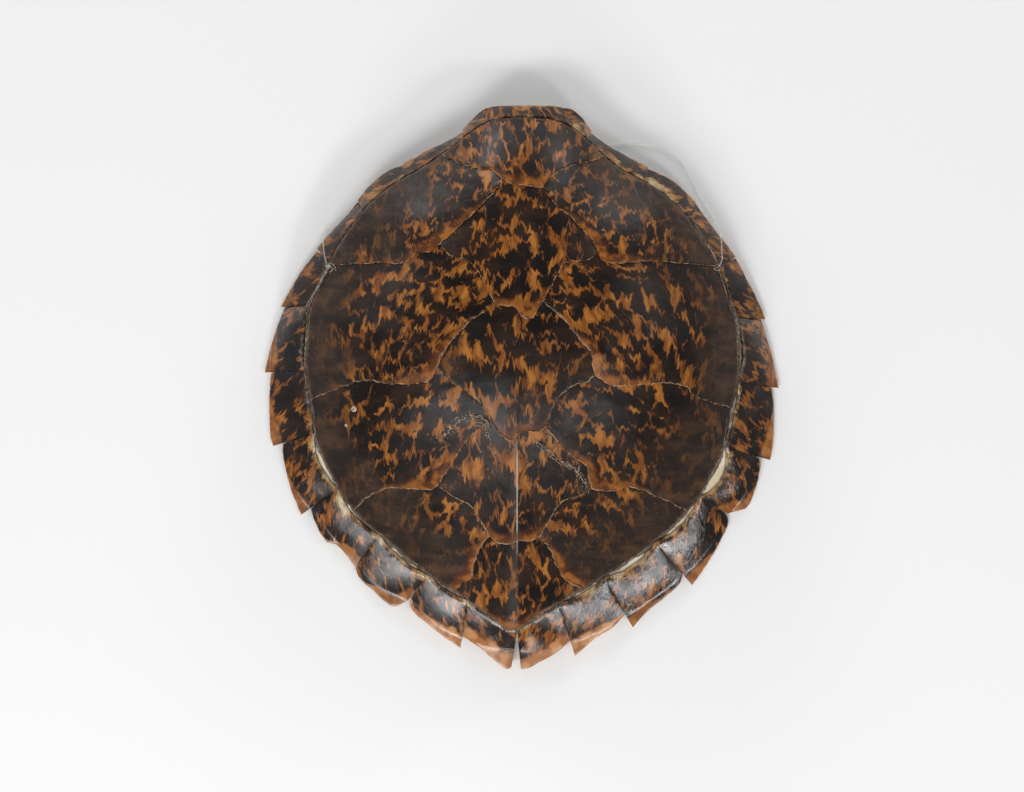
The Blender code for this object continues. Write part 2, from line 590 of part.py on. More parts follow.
def rim_section(inner, outer, step_up):
    """Closed section of a marginal scute: over the rim, round its edge and back underneath."""
    width = math.dist(inner, outer)
    x, y = inner
    gutter_r, gutter_z = ring_at("gutter", angle_of(x, y))
    rim_r, rim_z = ring_at("rim", angle_of(x, y))
    slope_length = math.hypot(rim_r - gutter_r, rim_z - gutter_z)
    per_mm = (rim_r - gutter_r) / slope_length / width
    bone_end = edge_share(inner, outer) + HORN_CLEAR * per_mm
    under = BONE_TOP - BONE_THICK_RIM - HORN_CLEAR

    def point(share, lift, lowest=0.0):
        px = inner[0] + (outer[0] - inner[0]) * share
        py = inner[1] + (outer[1] - inner[1]) * share
        p = shell_point(px, py, lift)
        p.z = max(p.z, lowest)
        return p

    near_edge = 1 - NOSE * per_mm
    reach = LIP_REACH * bone_end
    inner_under = BONE_TOP - BONE_THICK - HORN_CLEAR
    return [
        point(0, SKIN_TUCKED + step_up), point(0.5, LIP_BASE + step_up),
        point(near_edge, LIP_BASE + step_up), point(1, -NOSE, NOSE_LOWEST),
        point(near_edge, under - LIP), point(bone_end, under - LIP), point(reach, inner_under - LIP),
        point(reach, inner_under), point(bone_end, under, LIP), point(bone_end, SKIN_UNDER),
        point(0, SKIN_UNDER),
    ]


def along(points, share):
    """Point at a share of the length of a run of points."""
    lengths = [math.dist(a, b) for a, b in zip(points, points[1:])]
    left = share * sum(lengths)
    for (a, b), length in zip(zip(points, points[1:]), lengths):
        if left <= length:
            break
        left -= length
    left = min(left, length)
    return (a[0] + (b[0] - a[0]) * left / length, a[1] + (b[1] - a[1]) * left / length)


def build_marginal(name, front, rear, outer, bare, material, collection):
    """Horn wrapped round the rim between two seams; its rear edge stands over the next one."""
    lengths = [0.0]
    for a, b in zip(outer, outer[1:]):
        steps = math.ceil(math.dist(a, b) / RIM_PITCH)
        lengths += [lengths[-1] + math.dist(a, b) * k / steps for k in range(1, steps + 1)]
    shares = [length / lengths[-1] for length in lengths]
    gap_share = SEAM_GAP / 2 / lengths[-1]
    shares[0] += gap_share
    shares[-1] -= gap_share
    first = angle_of(*front)
    turn = (angle_of(*rear) - first + 180) % 360 - 180
    gap_turn = math.degrees(SEAM_GAP / 2 / math.dist(front, CENTRE)) * (1 if turn > 0 else -1)
    bm = bmesh.new()
    sections = []
    for share in shares:
        inner_share = (share - shares[0]) / (shares[-1] - shares[0])
        angle = (first + gap_turn + (turn - 2 * gap_turn) * inner_share) % 360
        width = SEAM_BARE + (bare - SEAM_BARE) * math.sin(math.pi * inner_share)
        inner = on_spoke(angle, ring_at("gutter", angle)[0] + width)
        step_up = RIM_STEP * inner_share
        sections.append([bm.verts.new(p) for p in rim_section(inner, along(outer, share), step_up)])
    for here, there in zip(sections, sections[1:]):
        for k in range(len(here)):
            m = (k + 1) % len(here)
            bm.faces.new((here[k], here[m], there[m], there[k]))
    for corners in END_FACES:
        bm.faces.new([sections[0][k] for k in corners])
        bm.faces.new([sections[-1][k] for k in corners[::-1]])
    return make_object(name, bm, material, collection)


def build_rim(material, collection):
    pieces = [build_marginal("nuchal_scute", MARGINALS["left"][0][0], MARGINALS["right"][0][0],
                             NUCHAL_EDGE, SEAM_BARE, material, collection)]
    for side, rows in MARGINALS.items():
        seams = [row[0] for row in rows] + [TAIL_SEAM]
        for k, (front, outer, bare) in enumerate(rows):
            kind = "supracaudal_scute_" + side if k == 11 else f"marginal_scute_{side}_{k + 1}"
            pieces.append(build_marginal(kind, front, seams[k + 1], outer, bare, material, collection))
    return pieces


# ---- drilled holes, hanging line, barnacle ---------------------------------------------------
def hole_axis(place):
    """Direction of a drilled hole, halfway between upright and square to the surface."""
    return (shell_normal(*place) + Vector((0, 0, 1))).normalized()


def place_along(obj, place, axis, lift, collection):
    """Set an object on a line through the shell, lifted along it, with its own Z on the line."""
    obj.location = (shell_point(*place, 0) + axis * lift) * MM
    obj.rotation_euler = Vector((0, 0, 1)).rotation_difference(axis).to_euler()
    for home in list(obj.users_collection):
        home.objects.unlink(obj)
    collection.objects.link(obj)


def make_drill(name, place, collection):
    bpy.ops.mesh.primitive_cylinder_add(vertices=14, radius=HOLE_RADIUS * MM, depth=DRILL_LENGTH * MM)
    cutter = bpy.context.object
    cutter.name = name
    cutter.display_type = 'WIRE'
    cutter.hide_render = True
    place_along(cutter, place, hole_axis(place), 0, collection)
    return cutter


def drill(obj, cutter):
    cut = obj.modifiers.new(cutter.name, 'BOOLEAN')
    cut.operation = 'DIFFERENCE'
    cut.solver = 'EXACT'
    cut.object = cutter


def build_line(material, collection):
    curve = bpy.data.curves.new("hanging_line", 'CURVE')
    curve.dimensions = '3D'
    curve.bevel_depth = LINE_RADIUS * MM
    curve.bevel_resolution = 1
    curve.use_fill_caps = True
    spline = curve.splines.new('POLY')
    spline.points.add(len(LINE_ROUTE) - 1)
    for point, place in zip(spline.points, LINE_ROUTE):
        point.co = (*(Vector(place) * MM), 1)
    line = bpy.data.objects.new("hanging_line", curve)
    line.data.materials.append(material)
    collection.objects.link(line)


def build_knot(name, place, lift, material, collection):
    bpy.ops.mesh.primitive_uv_sphere_add(segments=12, ring_count=8, radius=KNOT_RADIUS * MM)
    knot = bpy.context.object
    knot.name = name
    knot.data.shade_smooth()
    knot.data.materials.append(material)
    place_along(knot, place, hole_axis(place), lift, collection)


def build_barnacle(material, collection):
    """Small open cone of lime, turned from its section."""
    half = BARNACLE_WIDTH / 2
    section = [(0, 0.5), (half * 0.3, 0.5), (half * 0.42, BARNACLE_HEIGHT),
               (half * 0.62, BARNACLE_HEIGHT), (half, 0), (0, 0)]
    mesh = bpy.data.meshes.new("barnacle")
    verts = [(x * MM, 0, z * MM) for x, z in section]
    mesh.from_pydata(verts, [(k, k + 1) for k in range(len(verts) - 1)], [])
    barnacle = bpy.data.objects.new("barnacle", mesh)
    mesh.materials.append(material)
    turned = barnacle.modifiers.new("turned", 'SCREW')
    turned.steps = 12
    turned.render_steps = 12
    turned.use_merge_vertices = True
    turned.merge_threshold = 0.00001
    turned.use_smooth_shade = True
    collection.objects.link(barnacle)
    place_along(barnacle, BARNACLE_AT, shell_normal(*BARNACLE_AT), BARNACLE_LIFT, collection)


def build():
    clear_scene()
    shell = make_collection("sea_turtle_shell")
    cutters = make_collection("cutters")
    bone = make_material("bone", (0.78, 0.68, 0.48), 0.6)
    top_horn = make_material("scute_horn", (0.10, 0.045, 0.02), 0.3)
    rim_horn = make_material("marginal_horn", (0.16, 0.075, 0.03), 0.28)
    nylon = make_material("nylon", (0.82, 0.84, 0.8), 0.25)
    lime = make_material("barnacle_lime", (0.85, 0.82, 0.74), 0.7)

    drilled = {"carapace_bone": build_bone(bone, shell)}
    for name, outline, tucked, free in scute_plans():
        drilled[name] = build_scute(name, outline, tucked, free, top_horn, shell)
    build_rim(rim_horn, shell)
    for side, place in (("right", HOLE_RIGHT), ("left", HOLE_LEFT)):
        cutter = make_drill(f"drill_{side}", place, cutters)
        for name in ("carapace_bone", f"costal_scute_{side}_1", f"costal_scute_{side}_2"):
            drill(drilled[name], cutter)
    build_line(nylon, shell)
    build_knot("line_knot_right", HOLE_RIGHT, KNOT_RIGHT_LIFT, nylon, shell)
    build_knot("line_knot_left", HOLE_LEFT, KNOT_LEFT_LIFT, nylon, shell)
    build_barnacle(lime, shell)


build()
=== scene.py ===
# %% [markdown]
# # A dried sea turtle shell
#
# The upper shell of a young hawksbill-like turtle lies on a pale table, head end up in the picture.
# A shield of bone carries thirteen thin horn scutes on top, and twenty-five more wrap its rim.
# Everything is made on one formula for the shell's outer surface, so the pieces fit each other.

import math

import bmesh
import bpy
import numpy as np
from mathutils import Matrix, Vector
from mathutils.geometry import delaunay_2d_cdt, tessellate_polygon


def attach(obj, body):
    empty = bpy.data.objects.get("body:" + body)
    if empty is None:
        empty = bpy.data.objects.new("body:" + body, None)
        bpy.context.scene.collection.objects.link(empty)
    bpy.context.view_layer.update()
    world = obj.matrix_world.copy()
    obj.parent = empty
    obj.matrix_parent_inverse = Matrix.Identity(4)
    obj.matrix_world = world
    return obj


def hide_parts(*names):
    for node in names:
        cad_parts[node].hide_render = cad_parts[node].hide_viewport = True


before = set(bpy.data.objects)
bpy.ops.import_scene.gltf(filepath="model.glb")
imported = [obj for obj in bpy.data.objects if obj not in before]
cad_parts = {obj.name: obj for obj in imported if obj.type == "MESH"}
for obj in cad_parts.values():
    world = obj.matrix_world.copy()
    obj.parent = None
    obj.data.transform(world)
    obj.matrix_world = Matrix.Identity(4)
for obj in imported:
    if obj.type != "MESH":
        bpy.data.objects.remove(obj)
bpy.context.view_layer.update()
MM = 0.001

# %% [markdown]
# ## Camera
#
# The photograph is taken from straight above with a long lens, so the camera hangs three metres up
# and its lens is chosen to show 655 mm of table across the picture.

# %% Camera
CAMERA_HEIGHT = 3.0
TABLE_ACROSS = 0.65536
SENSOR = 36.0
CAMERA_OVER = (-0.0062, -0.0050)

camera_data = bpy.data.cameras.new("camera")
camera_data.sensor_width = SENSOR
camera_data.lens = SENSOR * CAMERA_HEIGHT / TABLE_ACROSS
camera = bpy.data.objects.new("camera", camera_data)
camera.location = (*CAMERA_OVER, CAMERA_HEIGHT)
bpy.context.scene.collection.objects.link(camera)
bpy.context.scene.camera = camera
print("lens", round(camera_data.lens, 1), "mm")

# %% [markdown]
# ## Helpers for materials
#
# A material is a small net of nodes. These helpers add a node, set or link its inputs by name, and
# return an output, so that a finish reads from top to bottom like a recipe.


# %% Node helpers
def fill_inputs(tree, node, inputs):
    """Give each named input a value, or link it to an output."""
    for key, value in inputs.items():
        if isinstance(value, bpy.types.NodeSocket):
            tree.links.new(value, node.inputs[key])
        else:
            node.inputs[key].default_value = value


def add_node(tree, kind, inputs, **settings):
    node = tree.nodes.new(kind)
    for key, value in settings.items():
        setattr(node, key, value)
    fill_inputs(tree, node, inputs)
    return node


# %% Sums of node outputs
def maths(tree, operation, first, second=0.0):
    return add_node(tree, "ShaderNodeMath", {0: first, 1: second}, operation=operation).outputs[0]


def plus(tree, first, second):
    return maths(tree, 'ADD', first, second)


def minus(tree, first, second):
    return maths(tree, 'SUBTRACT', first, second)


def times(tree, first, second):
    return maths(tree, 'MULTIPLY', first, second)


def swing(tree, field, reach, middle=0.5):
    """A noise moved so that it swings to both sides of zero."""
    return times(tree, minus(tree, field, middle), reach)


# %% Vectors and fields
def vector_maths(tree, operation, first, second):
    key = "Scale" if operation == 'SCALE' else 1
    node = add_node(tree, "ShaderNodeVectorMath", {0: first, key: second}, operation=operation)
    return node.outputs["Value" if operation == 'DOT_PRODUCT' else "Vector"]


def stretched(tree, vector, scale, offset=(0, 0, 0)):
    """A vector scaled along each axis and moved."""
    node = add_node(tree, "ShaderNodeVectorMath", {0: vector, 1: scale, 2: offset},
                    operation='MULTIPLY_ADD')
    return node.outputs[0]


def apart(tree, vector):
    """The three numbers of a vector."""
    return add_node(tree, "ShaderNodeSeparateXYZ", {0: vector}).outputs


def stored(tree, name):
    """The three numbers that every vertex keeps under this name, as a vector."""
    return add_node(tree, "ShaderNodeAttribute", {}, attribute_name=name).outputs["Vector"]


def object_place(tree):
    return tree.nodes.new("ShaderNodeTexCoord").outputs["Object"]


def noise(tree, vector, scale=1.0, detail=2.0, roughness=0.5):
    node = add_node(tree, "ShaderNodeTexNoise", {"Vector": vector, "Scale": scale, "Detail": detail,
                                                 "Roughness": roughness})
    return node.outputs["Fac"]


def step(tree, value, low, high):
    """0 below low, 1 above high, smooth between; low may be the larger."""
    node = add_node(tree, "ShaderNodeMapRange", {"Value": value, "From Min": low, "From Max": high},
                    interpolation_type='SMOOTHSTEP')
    return node.outputs[0]


# %% Colours and finishes
def colour(code):
    """Linear colour from a six-digit sRGB code."""
    parts = [int(code[k:k + 2], 16) / 255 for k in (0, 2, 4)]
    return tuple(p / 12.92 if p <= 0.04045 else ((p + 0.055) / 1.055) ** 2.4 for p in parts) + (1.0,)


def colour_socket(sockets, label):
    return next(socket for socket in sockets if socket.name == label and socket.type == 'RGBA')


def mixed(tree, share, first, second):
    """Blend of two colours, each a code or an output."""
    node = add_node(tree, "ShaderNodeMix", {"Factor": share}, data_type='RGBA')
    for label, value in (("A", first), ("B", second)):
        socket = colour_socket(node.inputs, label)
        if isinstance(value, bpy.types.NodeSocket):
            tree.links.new(value, socket)
        else:
            socket.default_value = colour(value)
    return colour_socket(node.outputs, "Result")


def stained(tree, base, mask, strength, code):
    """A colour with a stain of another over it, where a mask from 0 to 1 says so."""
    return mixed(tree, times(tree, mask, strength), base, code)


def start_material(name):
    material = bpy.data.materials.new(name)
    material.use_nodes = True
    return material, material.node_tree, material.node_tree.nodes["Principled BSDF"]


def bump(tree, shader, height, distance):
    node = add_node(tree, "ShaderNodeBump", {"Height": height, "Distance": distance, "Strength": 1.0})
    fill_inputs(tree, shader, {"Normal": node.outputs[0]})


def plain_material(name, first, second, roughness):
    """Dull two-tone finish."""
    material, tree, shader = start_material(name)
    tone = step(tree, noise(tree, object_place(tree), 500.0, 2.0, 0.6), 0.4, 0.6)
    fill_inputs(tree, shader, {"Base Color": mixed(tree, tone, first, second), "Roughness": roughness})
    return material


# %% [markdown]
# ## The hanging line
#
# A thin clear nylon line runs from one drilled hole to the other, so the shell can hang on a wall.
# On the table it drops over both shoulders and its slack lies under the front edge. It is a curve
# through the same points as in the solid model.

# %% Route of the line
LINE_DIAMETER = 0.9
LINE_ROUTE = [
    (121.2, 75.5, 25.5), (122.4, 75.8, 28.4), (123.5, 76.2, 31.1), (124.2, 76.5, 33.0),
    (124.8, 77.2, 34.4), (125.5, 78.4, 35.0), (126.2, 79.9, 34.3), (126.8, 81.5, 32.1),
    (127.0, 83.3, 29.0),
    (127.0, 86.6, 23.6), (127.1, 90.8, 18.6), (127.1, 94.6, 14.6), (126.8, 97.8, 11.2),
    (126.2, 100.8, 7.4), (125.0, 103.8, 3.8), (123.0, 107.2, 1.5), (120.0, 112.0, 0.7),
    (114.5, 121.0, 0.6), (107.5, 134.0, 0.6), (102.0, 144.0, 0.6), (94.0, 150.5, 0.6),
    (82.0, 154.5, 0.6), (68.0, 156.0, 0.6), (48.0, 153.5, 0.6), (24.0, 147.0, 0.6),
    (-34.0, 129.0, 0.6), (-92.0, 111.5, 0.6), (-113.0, 105.0, 0.6), (-119.5, 103.0, 1.0),
    (-123.8, 101.4, 2.8), (-126.2, 99.4, 5.8), (-126.8, 97.0, 9.4), (-126.6, 94.2, 13.4),
    (-126.2, 90.8, 18.0), (-125.7, 86.8, 22.9), (-124.9, 82.6, 27.7), (-123.6, 79.0, 32.0),
]


# %% Nylon
def nylon_material():
    """Clear nylon: mostly see-through, also to its own shadow, with a soft white shine."""
    material, tree, shader = start_material("clear_nylon")
    cloud = noise(tree, object_place(tree), scale=900.0)
    fill_inputs(tree, shader, {"Base Color": mixed(tree, cloud, "e4e2da", "f4f3ee"), "Roughness": 0.25,
                               "Transmission Weight": 0.30, "IOR": 1.20, "Alpha": 0.26})
    return material


# %% [markdown]
# Nothing on the shell moves, so every finished piece rides on the one body, root. A piece that
# stands for a solid of the imported model replaces its node, and fine detail only rides along.


# %% Body helper
def hand_in(obj, node=None):
    """Fix a finished piece to the body, in place of a CAD node where it stands for one."""
    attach(obj, "root")
    if node:
        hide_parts(node)


# %% Make the hanging line
line_curve = bpy.data.curves.new("nylon_line", 'CURVE')
line_curve.dimensions = '3D'
line_curve.bevel_depth = LINE_DIAMETER / 2 * MM
line_curve.bevel_resolution = 3
line_curve.use_fill_caps = True
line_curve.resolution_u = 6
spline = line_curve.splines.new('BEZIER')
spline.bezier_points.add(len(LINE_ROUTE) - 1)
for point, spot in zip(spline.bezier_points, LINE_ROUTE):
    point.co = Vector(spot) * MM
    point.handle_left_type = 'AUTO'
    point.handle_right_type = 'AUTO'
nylon_line = bpy.data.objects.new("nylon_line", line_curve)
nylon_line.data.materials.append(nylon_material())
bpy.context.scene.collection.objects.link(nylon_line)
hand_in(nylon_line, "hanging_line")
print("line through", len(spline.bezier_points), "points")

# %% [markdown]
# ## The shell's surface
#
# Seen from above, the shell is a fan of spokes from a point on its back. Two rings cross each spoke:
# the gutter, where the scutes of the back end, and the rim. Their radius and height are measured at
# some fifty places, and a smooth curve runs through them. Inside the gutter an arch rises to
# the crown, outside it a flange falls to the rim, and a keel runs down the middle of the back.

# %% Measured rings
CENTRE = np.array((-3.0, 10.0))
# Each point is x, y and height.
GUTTER = [
    (2, 171, 46), (24, 169, 44), (32, 165, 43), (41, 158, 42), (52, 147, 40), (68, 135, 39),
    (80, 130, 38), (92, 121, 37), (106, 107, 34), (115, 93, 32), (125, 78, 29), (133, 52, 26),
    (137, 44, 25), (138, 24, 23), (138, 4, 21), (134, -10, 19), (132, -23, 18), (129, -39, 17),
    (121, -54, 16), (113, -69, 16), (104, -80, 15.5), (87, -96, 15.5), (69, -109, 16),
    (54, -119, 17), (38, -128, 17.5), (24, -136, 19), (5, -147, 20.5), (-3, -157, 21),
    (-18, -146, 20.5), (-35, -134, 18.5), (-46, -127, 17.5), (-62, -117, 16.5), (-82, -100, 16),
    (-96, -89, 15.5), (-106, -79, 15.5), (-117, -64, 16), (-125, -48, 16), (-132, -30, 17.5),
    (-134, -8, 19.5), (-138, 11, 22), (-136, 31, 23.5), (-136, 50, 25.5), (-130, 62, 27),
    (-122, 80, 30.5), (-111, 98, 33.5), (-101, 112, 36), (-92, 121, 37.5), (-77, 132, 38.5),
    (-64, 139, 39.5), (-51, 148, 41), (-37, 158, 43), (-22, 169, 44.5), (-7, 171, 46),
]
RIM = [
    (2, 179, 32.5), (25, 177, 31), (34, 172, 28.5), (42, 161, 25), (62, 149, 21), (80, 140, 18.5),
    (97, 131, 16), (111, 118, 13.5), (123, 101, 11), (136, 83, 8.5), (147, 62, 6), (153, 43, 5),
    (158, 20, 4.2), (159, -1, 4), (158, -25, 4), (151, -45, 4), (142, -68, 4), (130, -81, 4),
    (119, -102, 4), (103, -120, 4.5), (84, -133, 5.5), (66, -146, 7), (48, -155, 8),
    (31, -162, 9.5), (12, -166, 10), (-3, -165, 10), (-18, -164, 10), (-36, -159, 9),
    (-54, -150, 7.5), (-71, -134, 6), (-90, -127, 5), (-105, -112, 4.5), (-119, -95, 4),
    (-133, -78, 4), (-145, -62, 4), (-151, -36, 4), (-159, -14, 4), (-160, 9, 4), (-157, 31, 4.2),
    (-152, 51, 5), (-142, 71, 7), (-131, 88, 9.5), (-118, 103, 11.5), (-103, 117, 14),
    (-90, 134, 17), (-75, 142, 19.5), (-58, 151, 22), (-38, 161, 25), (-30, 169, 28),
    (-20, 178, 31),
]
print("measured", len(GUTTER), "points of the gutter and", len(RIM), "of the rim")

# %% Smooth rings
EVEN_OUT = 3.0                   # degrees to each side over which a ring is evened out
RING_STEP = 0.25                 # degrees


def polar(plan):
    """Angle in degrees and radius of plan points about the centre."""
    off = np.asarray(plan, float) - CENTRE
    return np.degrees(np.arctan2(off[..., 1], off[..., 0])) % 360, np.hypot(off[..., 0], off[..., 1])


def bend(t, start, leave, end, arrive):
    """Smooth curve from start to end, as t goes from 0 to 1, with its slopes at both."""
    return ((2 * t ** 3 - 3 * t ** 2 + 1) * start + (t ** 3 - 2 * t ** 2 + t) * leave
            + (3 * t ** 2 - 2 * t ** 3) * end + (t ** 3 - t ** 2) * arrive)


def ring_table(points):
    """Radius and height at every ring step, on a smooth curve through the points, evened out."""
    points = np.array(points, float)
    angle, radius = polar(points[:, :2])
    order = np.argsort(angle)
    ring = np.column_stack((angle, radius, points[:, 2]))[order]
    turn = np.array((360.0, 0, 0))
    ring = np.vstack((ring[-2:] - turn, ring, ring[:2] + turn))

    def through(at):
        k = np.maximum(np.searchsorted(ring[:, 0], at) - 1, 1)
        p0, p1, p2, p3 = (ring[k + m] for m in (-1, 0, 1, 2))
        span = (p2 - p1)[:, :1]
        t = (at - p1[:, 0])[:, None] / span
        slope1 = (p2 - p0) / (p2 - p0)[:, :1] * span
        slope2 = (p3 - p1) / (p3 - p1)[:, :1] * span
        return bend(t, p1, slope1, p2, slope2)[:, 1:]

    at = np.arange(0, 360, RING_STEP)
    evened = (through((at - EVEN_OUT) % 360) + 2 * through(at) + through((at + EVEN_OUT) % 360)) / 4
    return at, evened


RINGS = {"gutter": ring_table(GUTTER), "rim": ring_table(RIM)}


def ring_at(name, angle):
    at, values = RINGS[name]
    return tuple(np.interp(angle, at, values[:, k], period=360) for k in (0, 1))


print("gutter behind, radius and height", [round(float(v), 1) for v in ring_at("gutter", 270.0)])

# %% Height of the surface
CROWN_HEIGHT = 81.5
CROWN_TILT = 0.10                # the back rises towards the front
FULLNESS = 2.4                   # power of the arch: more is flatter on top
FULLNESS_FRONT = 0.65            # what it gains at the front and loses behind
KEEL_WIDTH = 22.0
KEEL_REAR = 4.0                  # keel height
KEEL_FRONT = 0.8
KEEL_RISES = (110.0, -15.0)      # from the one height to the other between these y
KEEL_TURN = 0.0296               # the keel leans to the right in front
KEEL_ROUND_FRONT = 8.3           # radius of the keel's edge
KEEL_ROUND_REAR = 0.3
TOOTH_EASE = 1.5                 # past the rim the fall fades out over this length


def keel_x(y):
    return CENTRE[0] + np.maximum(0.0, y - CENTRE[1]) * KEEL_TURN


def keel_height(x, y, share):
    """Ridge along the back: soft at the nape, sharp behind, gone at the gutter."""
    first, full = KEEL_RISES
    rise = np.clip((first - y) / (first - full), 0, 1)
    height = KEEL_FRONT + (KEEL_REAR - KEEL_FRONT) * rise
    rounding = KEEL_ROUND_FRONT + (KEEL_ROUND_REAR - KEEL_ROUND_FRONT) * rise
    sideways = np.hypot(x - keel_x(y), rounding) - rounding
    return height * np.exp(-sideways / KEEL_WIDTH) * (1 - share ** 4)


def shell_height(plan):
    angle, radius = polar(plan)
    gutter_r, gutter_z = ring_at("gutter", angle)
    rim_r, rim_z = ring_at("rim", angle)
    share = np.minimum(radius / gutter_r, 1)
    fullness = FULLNESS + FULLNESS_FRONT * np.sin(np.radians(angle))
    arch = gutter_z + (CROWN_HEIGHT - gutter_z) * (1 - share ** fullness)
    lean = CROWN_TILT * (plan[..., 1] - CENTRE[1]) * (1 - share ** 2)
    back = arch + lean + keel_height(plan[..., 0], plan[..., 1], share)
    slope = (gutter_z - rim_z) / (rim_r - gutter_r)
    flange = gutter_z - slope * (radius - gutter_r)
    past = np.maximum(radius - rim_r, 0)
    tooth = rim_z - slope * TOOTH_EASE * (1 - np.exp(-past / TOOTH_EASE))
    return np.where(radius <= gutter_r, back, np.where(radius <= rim_r, flange, tooth))


print("crown", round(float(shell_height(np.array([CENTRE]))[0]), 1), "mm")

# %% Points laid on the surface
NORMAL_STEP = 0.6


def shell_normal(plan):
    dx = np.array((NORMAL_STEP, 0.0))
    dy = np.array((0.0, NORMAL_STEP))
    slope_x, slope_y = ((shell_height(plan + d) - shell_height(plan - d)) / (2 * NORMAL_STEP)
                        for d in (dx, dy))
    normal = np.stack((-slope_x, -slope_y, np.ones_like(slope_x)), axis=-1)
    return normal / np.linalg.norm(normal, axis=-1, keepdims=True)


def on_shell(plan, lift):
    """Points over plan points, lifted off the surface along its normal, in millimetres."""
    plan = np.asarray(plan, float)
    base = np.concatenate((plan, shell_height(plan)[..., None]), axis=-1)
    return base + shell_normal(plan) * np.asarray(lift, float)[..., None]


def spot_on_shell(spot, lift=0.0):
    """A single plan point on the surface, and the surface's direction there."""
    spot = np.array([spot], float)
    return Vector(on_shell(spot, np.array([lift]))[0]), Vector(shell_normal(spot)[0])


def on_spoke(angle, radius):
    a = np.radians(angle)
    return np.stack((CENTRE[0] + radius * np.cos(a), CENTRE[1] + radius * np.sin(a)), axis=-1)


# %% [markdown]
# ## Tools for grown shapes
#
# Nothing that grew has a ruled edge. A field of smooth random lumps roughens edges and surfaces, a
# curve through listed points gives the borders, and a few plan measures (inside an outline,
# distance to a border) say where on a scute a point lies.


# %% Random lumps
def lumps(plan, size, seed=0):
    """Smooth random field of about -1 to 1, whose lumps are size millimetres across."""
    scaled = np.asarray(plan, float) / size
    cell = np.floor(scaled).astype(np.int64)
    f = scaled - cell
    f = f * f * (3 - 2 * f)

    def corner(dx, dy):
        n = (cell[..., 0] + dx) * 374761393 + (cell[..., 1] + dy) * 668265263 + seed * 974634777
        n = (n ^ (n >> 13)) * 1274126177
        return ((n ^ (n >> 16)) & 0xFFFF) / 32767.5 - 1

    low = corner(0, 0) * (1 - f[..., 0]) + corner(1, 0) * f[..., 0]
    high = corner(0, 1) * (1 - f[..., 0]) + corner(1, 1) * f[..., 0]
    return low * (1 - f[..., 1]) + high * f[..., 1]


def wobble(plan, seed, *layers):
    """Layers of random lumps, each given by its reach and its size in millimetres."""
    return sum(reach * lumps(plan, size, seed + k) for k, (reach, size) in enumerate(layers))


def ease(share):
    """Smooth rise from 0 to 1."""
    share = np.clip(share, 0, 1)
    return share * share * (3 - 2 * share)


# %% Smooth curves
def run_lengths(points):
    return np.concatenate(([0], np.cumsum(np.hypot(*np.diff(points, axis=0).T))))


def smooth_run(points, pitch):
    """Curve through given plan points, with points an even pitch apart."""
    p = np.array(points, float)
    t = np.concatenate(([0], np.cumsum(np.sqrt(np.hypot(*np.diff(p, axis=0).T)))))
    slope = np.gradient(p, t, axis=0) if len(p) > 2 else np.repeat((p[1:] - p[:1]) / t[1], 2, axis=0)
    fine = []
    for k in range(len(p) - 1):
        span = t[k + 1] - t[k]
        s = np.linspace(0, 1, 16, endpoint=k == len(p) - 2)[:, None]
        fine.append(bend(s, p[k], slope[k] * span, p[k + 1], slope[k + 1] * span))
    fine = np.vstack(fine)
    length = run_lengths(fine)
    at = np.linspace(0, length[-1], max(2, round(length[-1] / pitch) + 1))
    return np.column_stack([np.interp(at, length, fine[:, k]) for k in (0, 1)])


# %% Plan measures
FAR = 60.0                       # stands for the distance to a border that isn't there
BATCH = 4000                     # points measured at a time, to keep the arrays small


def distance_to(plan, runs):
    """Shortest distance from each plan point to any side of the runs, or FAR where there are none."""
    if not len(runs):
        return np.full(len(plan), FAR)
    best = np.full(len(plan), np.inf)
    for run in runs:
        a = run[:-1]
        side = run[1:] - a
        size = np.maximum((side ** 2).sum(1), 1e-9)
        for first in range(0, len(plan), BATCH):
            batch = slice(first, first + BATCH)
            off = plan[batch, None] - a
            share = np.clip((off * side).sum(2) / size, 0, 1)[..., None]
            away = np.linalg.norm(off - side * share, axis=2).min(1)
            best[batch] = np.minimum(best[batch], away)
    return best


def inside(plan, outline):
    """Whether each plan point is inside an outline, by counting the sides it looks across."""
    x, y = plan[:, :1], plan[:, 1:]
    x1, y1 = outline.T
    x2, y2 = np.roll(outline, -1, axis=0).T
    rise = np.where(y2 == y1, 1e-9, y2 - y1)
    crossed = ((y1 > y) != (y2 > y)) & (x < (x2 - x1) * (y - y1) / rise + x1)
    return crossed.sum(1) % 2 == 1


# %% Meshes and what their vertices store
def save_mesh(name, verts, faces, material, sharp=50):
    """Smooth-shaded object from points in millimetres."""
    mesh = bpy.data.meshes.new(name)
    mesh.from_pydata((np.asarray(verts) * MM).tolist(), [], faces)
    mesh.validate()
    mesh.shade_smooth()
    mesh.set_sharp_from_angle(angle=math.radians(sharp))
    mesh.materials.append(material)
    obj = bpy.data.objects.new(name, mesh)
    bpy.context.scene.collection.objects.link(obj)
    return obj


def plan_of(obj):
    """Plan position of every vertex, in millimetres."""
    co = np.empty(len(obj.data.vertices) * 3, np.float32)
    obj.data.vertices.foreach_get("co", co)
    return co.reshape(-1, 3)[:, :2].astype(float) / MM


def write_attribute(obj, name, columns):
    """Store three numbers at every vertex, for a material to read."""
    attribute = obj.data.attributes.new(name, 'FLOAT_VECTOR', 'POINT')
    attribute.data.foreach_set("vector", np.column_stack(columns).astype(np.float32).ravel())


# %% [markdown]
# ## Tortoiseshell horn
#
# Each scute grows outwards from one corner, and its colour cells move with it. So the dark and
# amber patches have sharp side edges frayed into long teeth that point away from that corner. Here
# every vertex stores how far it is along and across those growth lines. The material shifts a soft
# blotch pattern along them by a much finer noise that only varies across them, which frays the
# patches into flames.

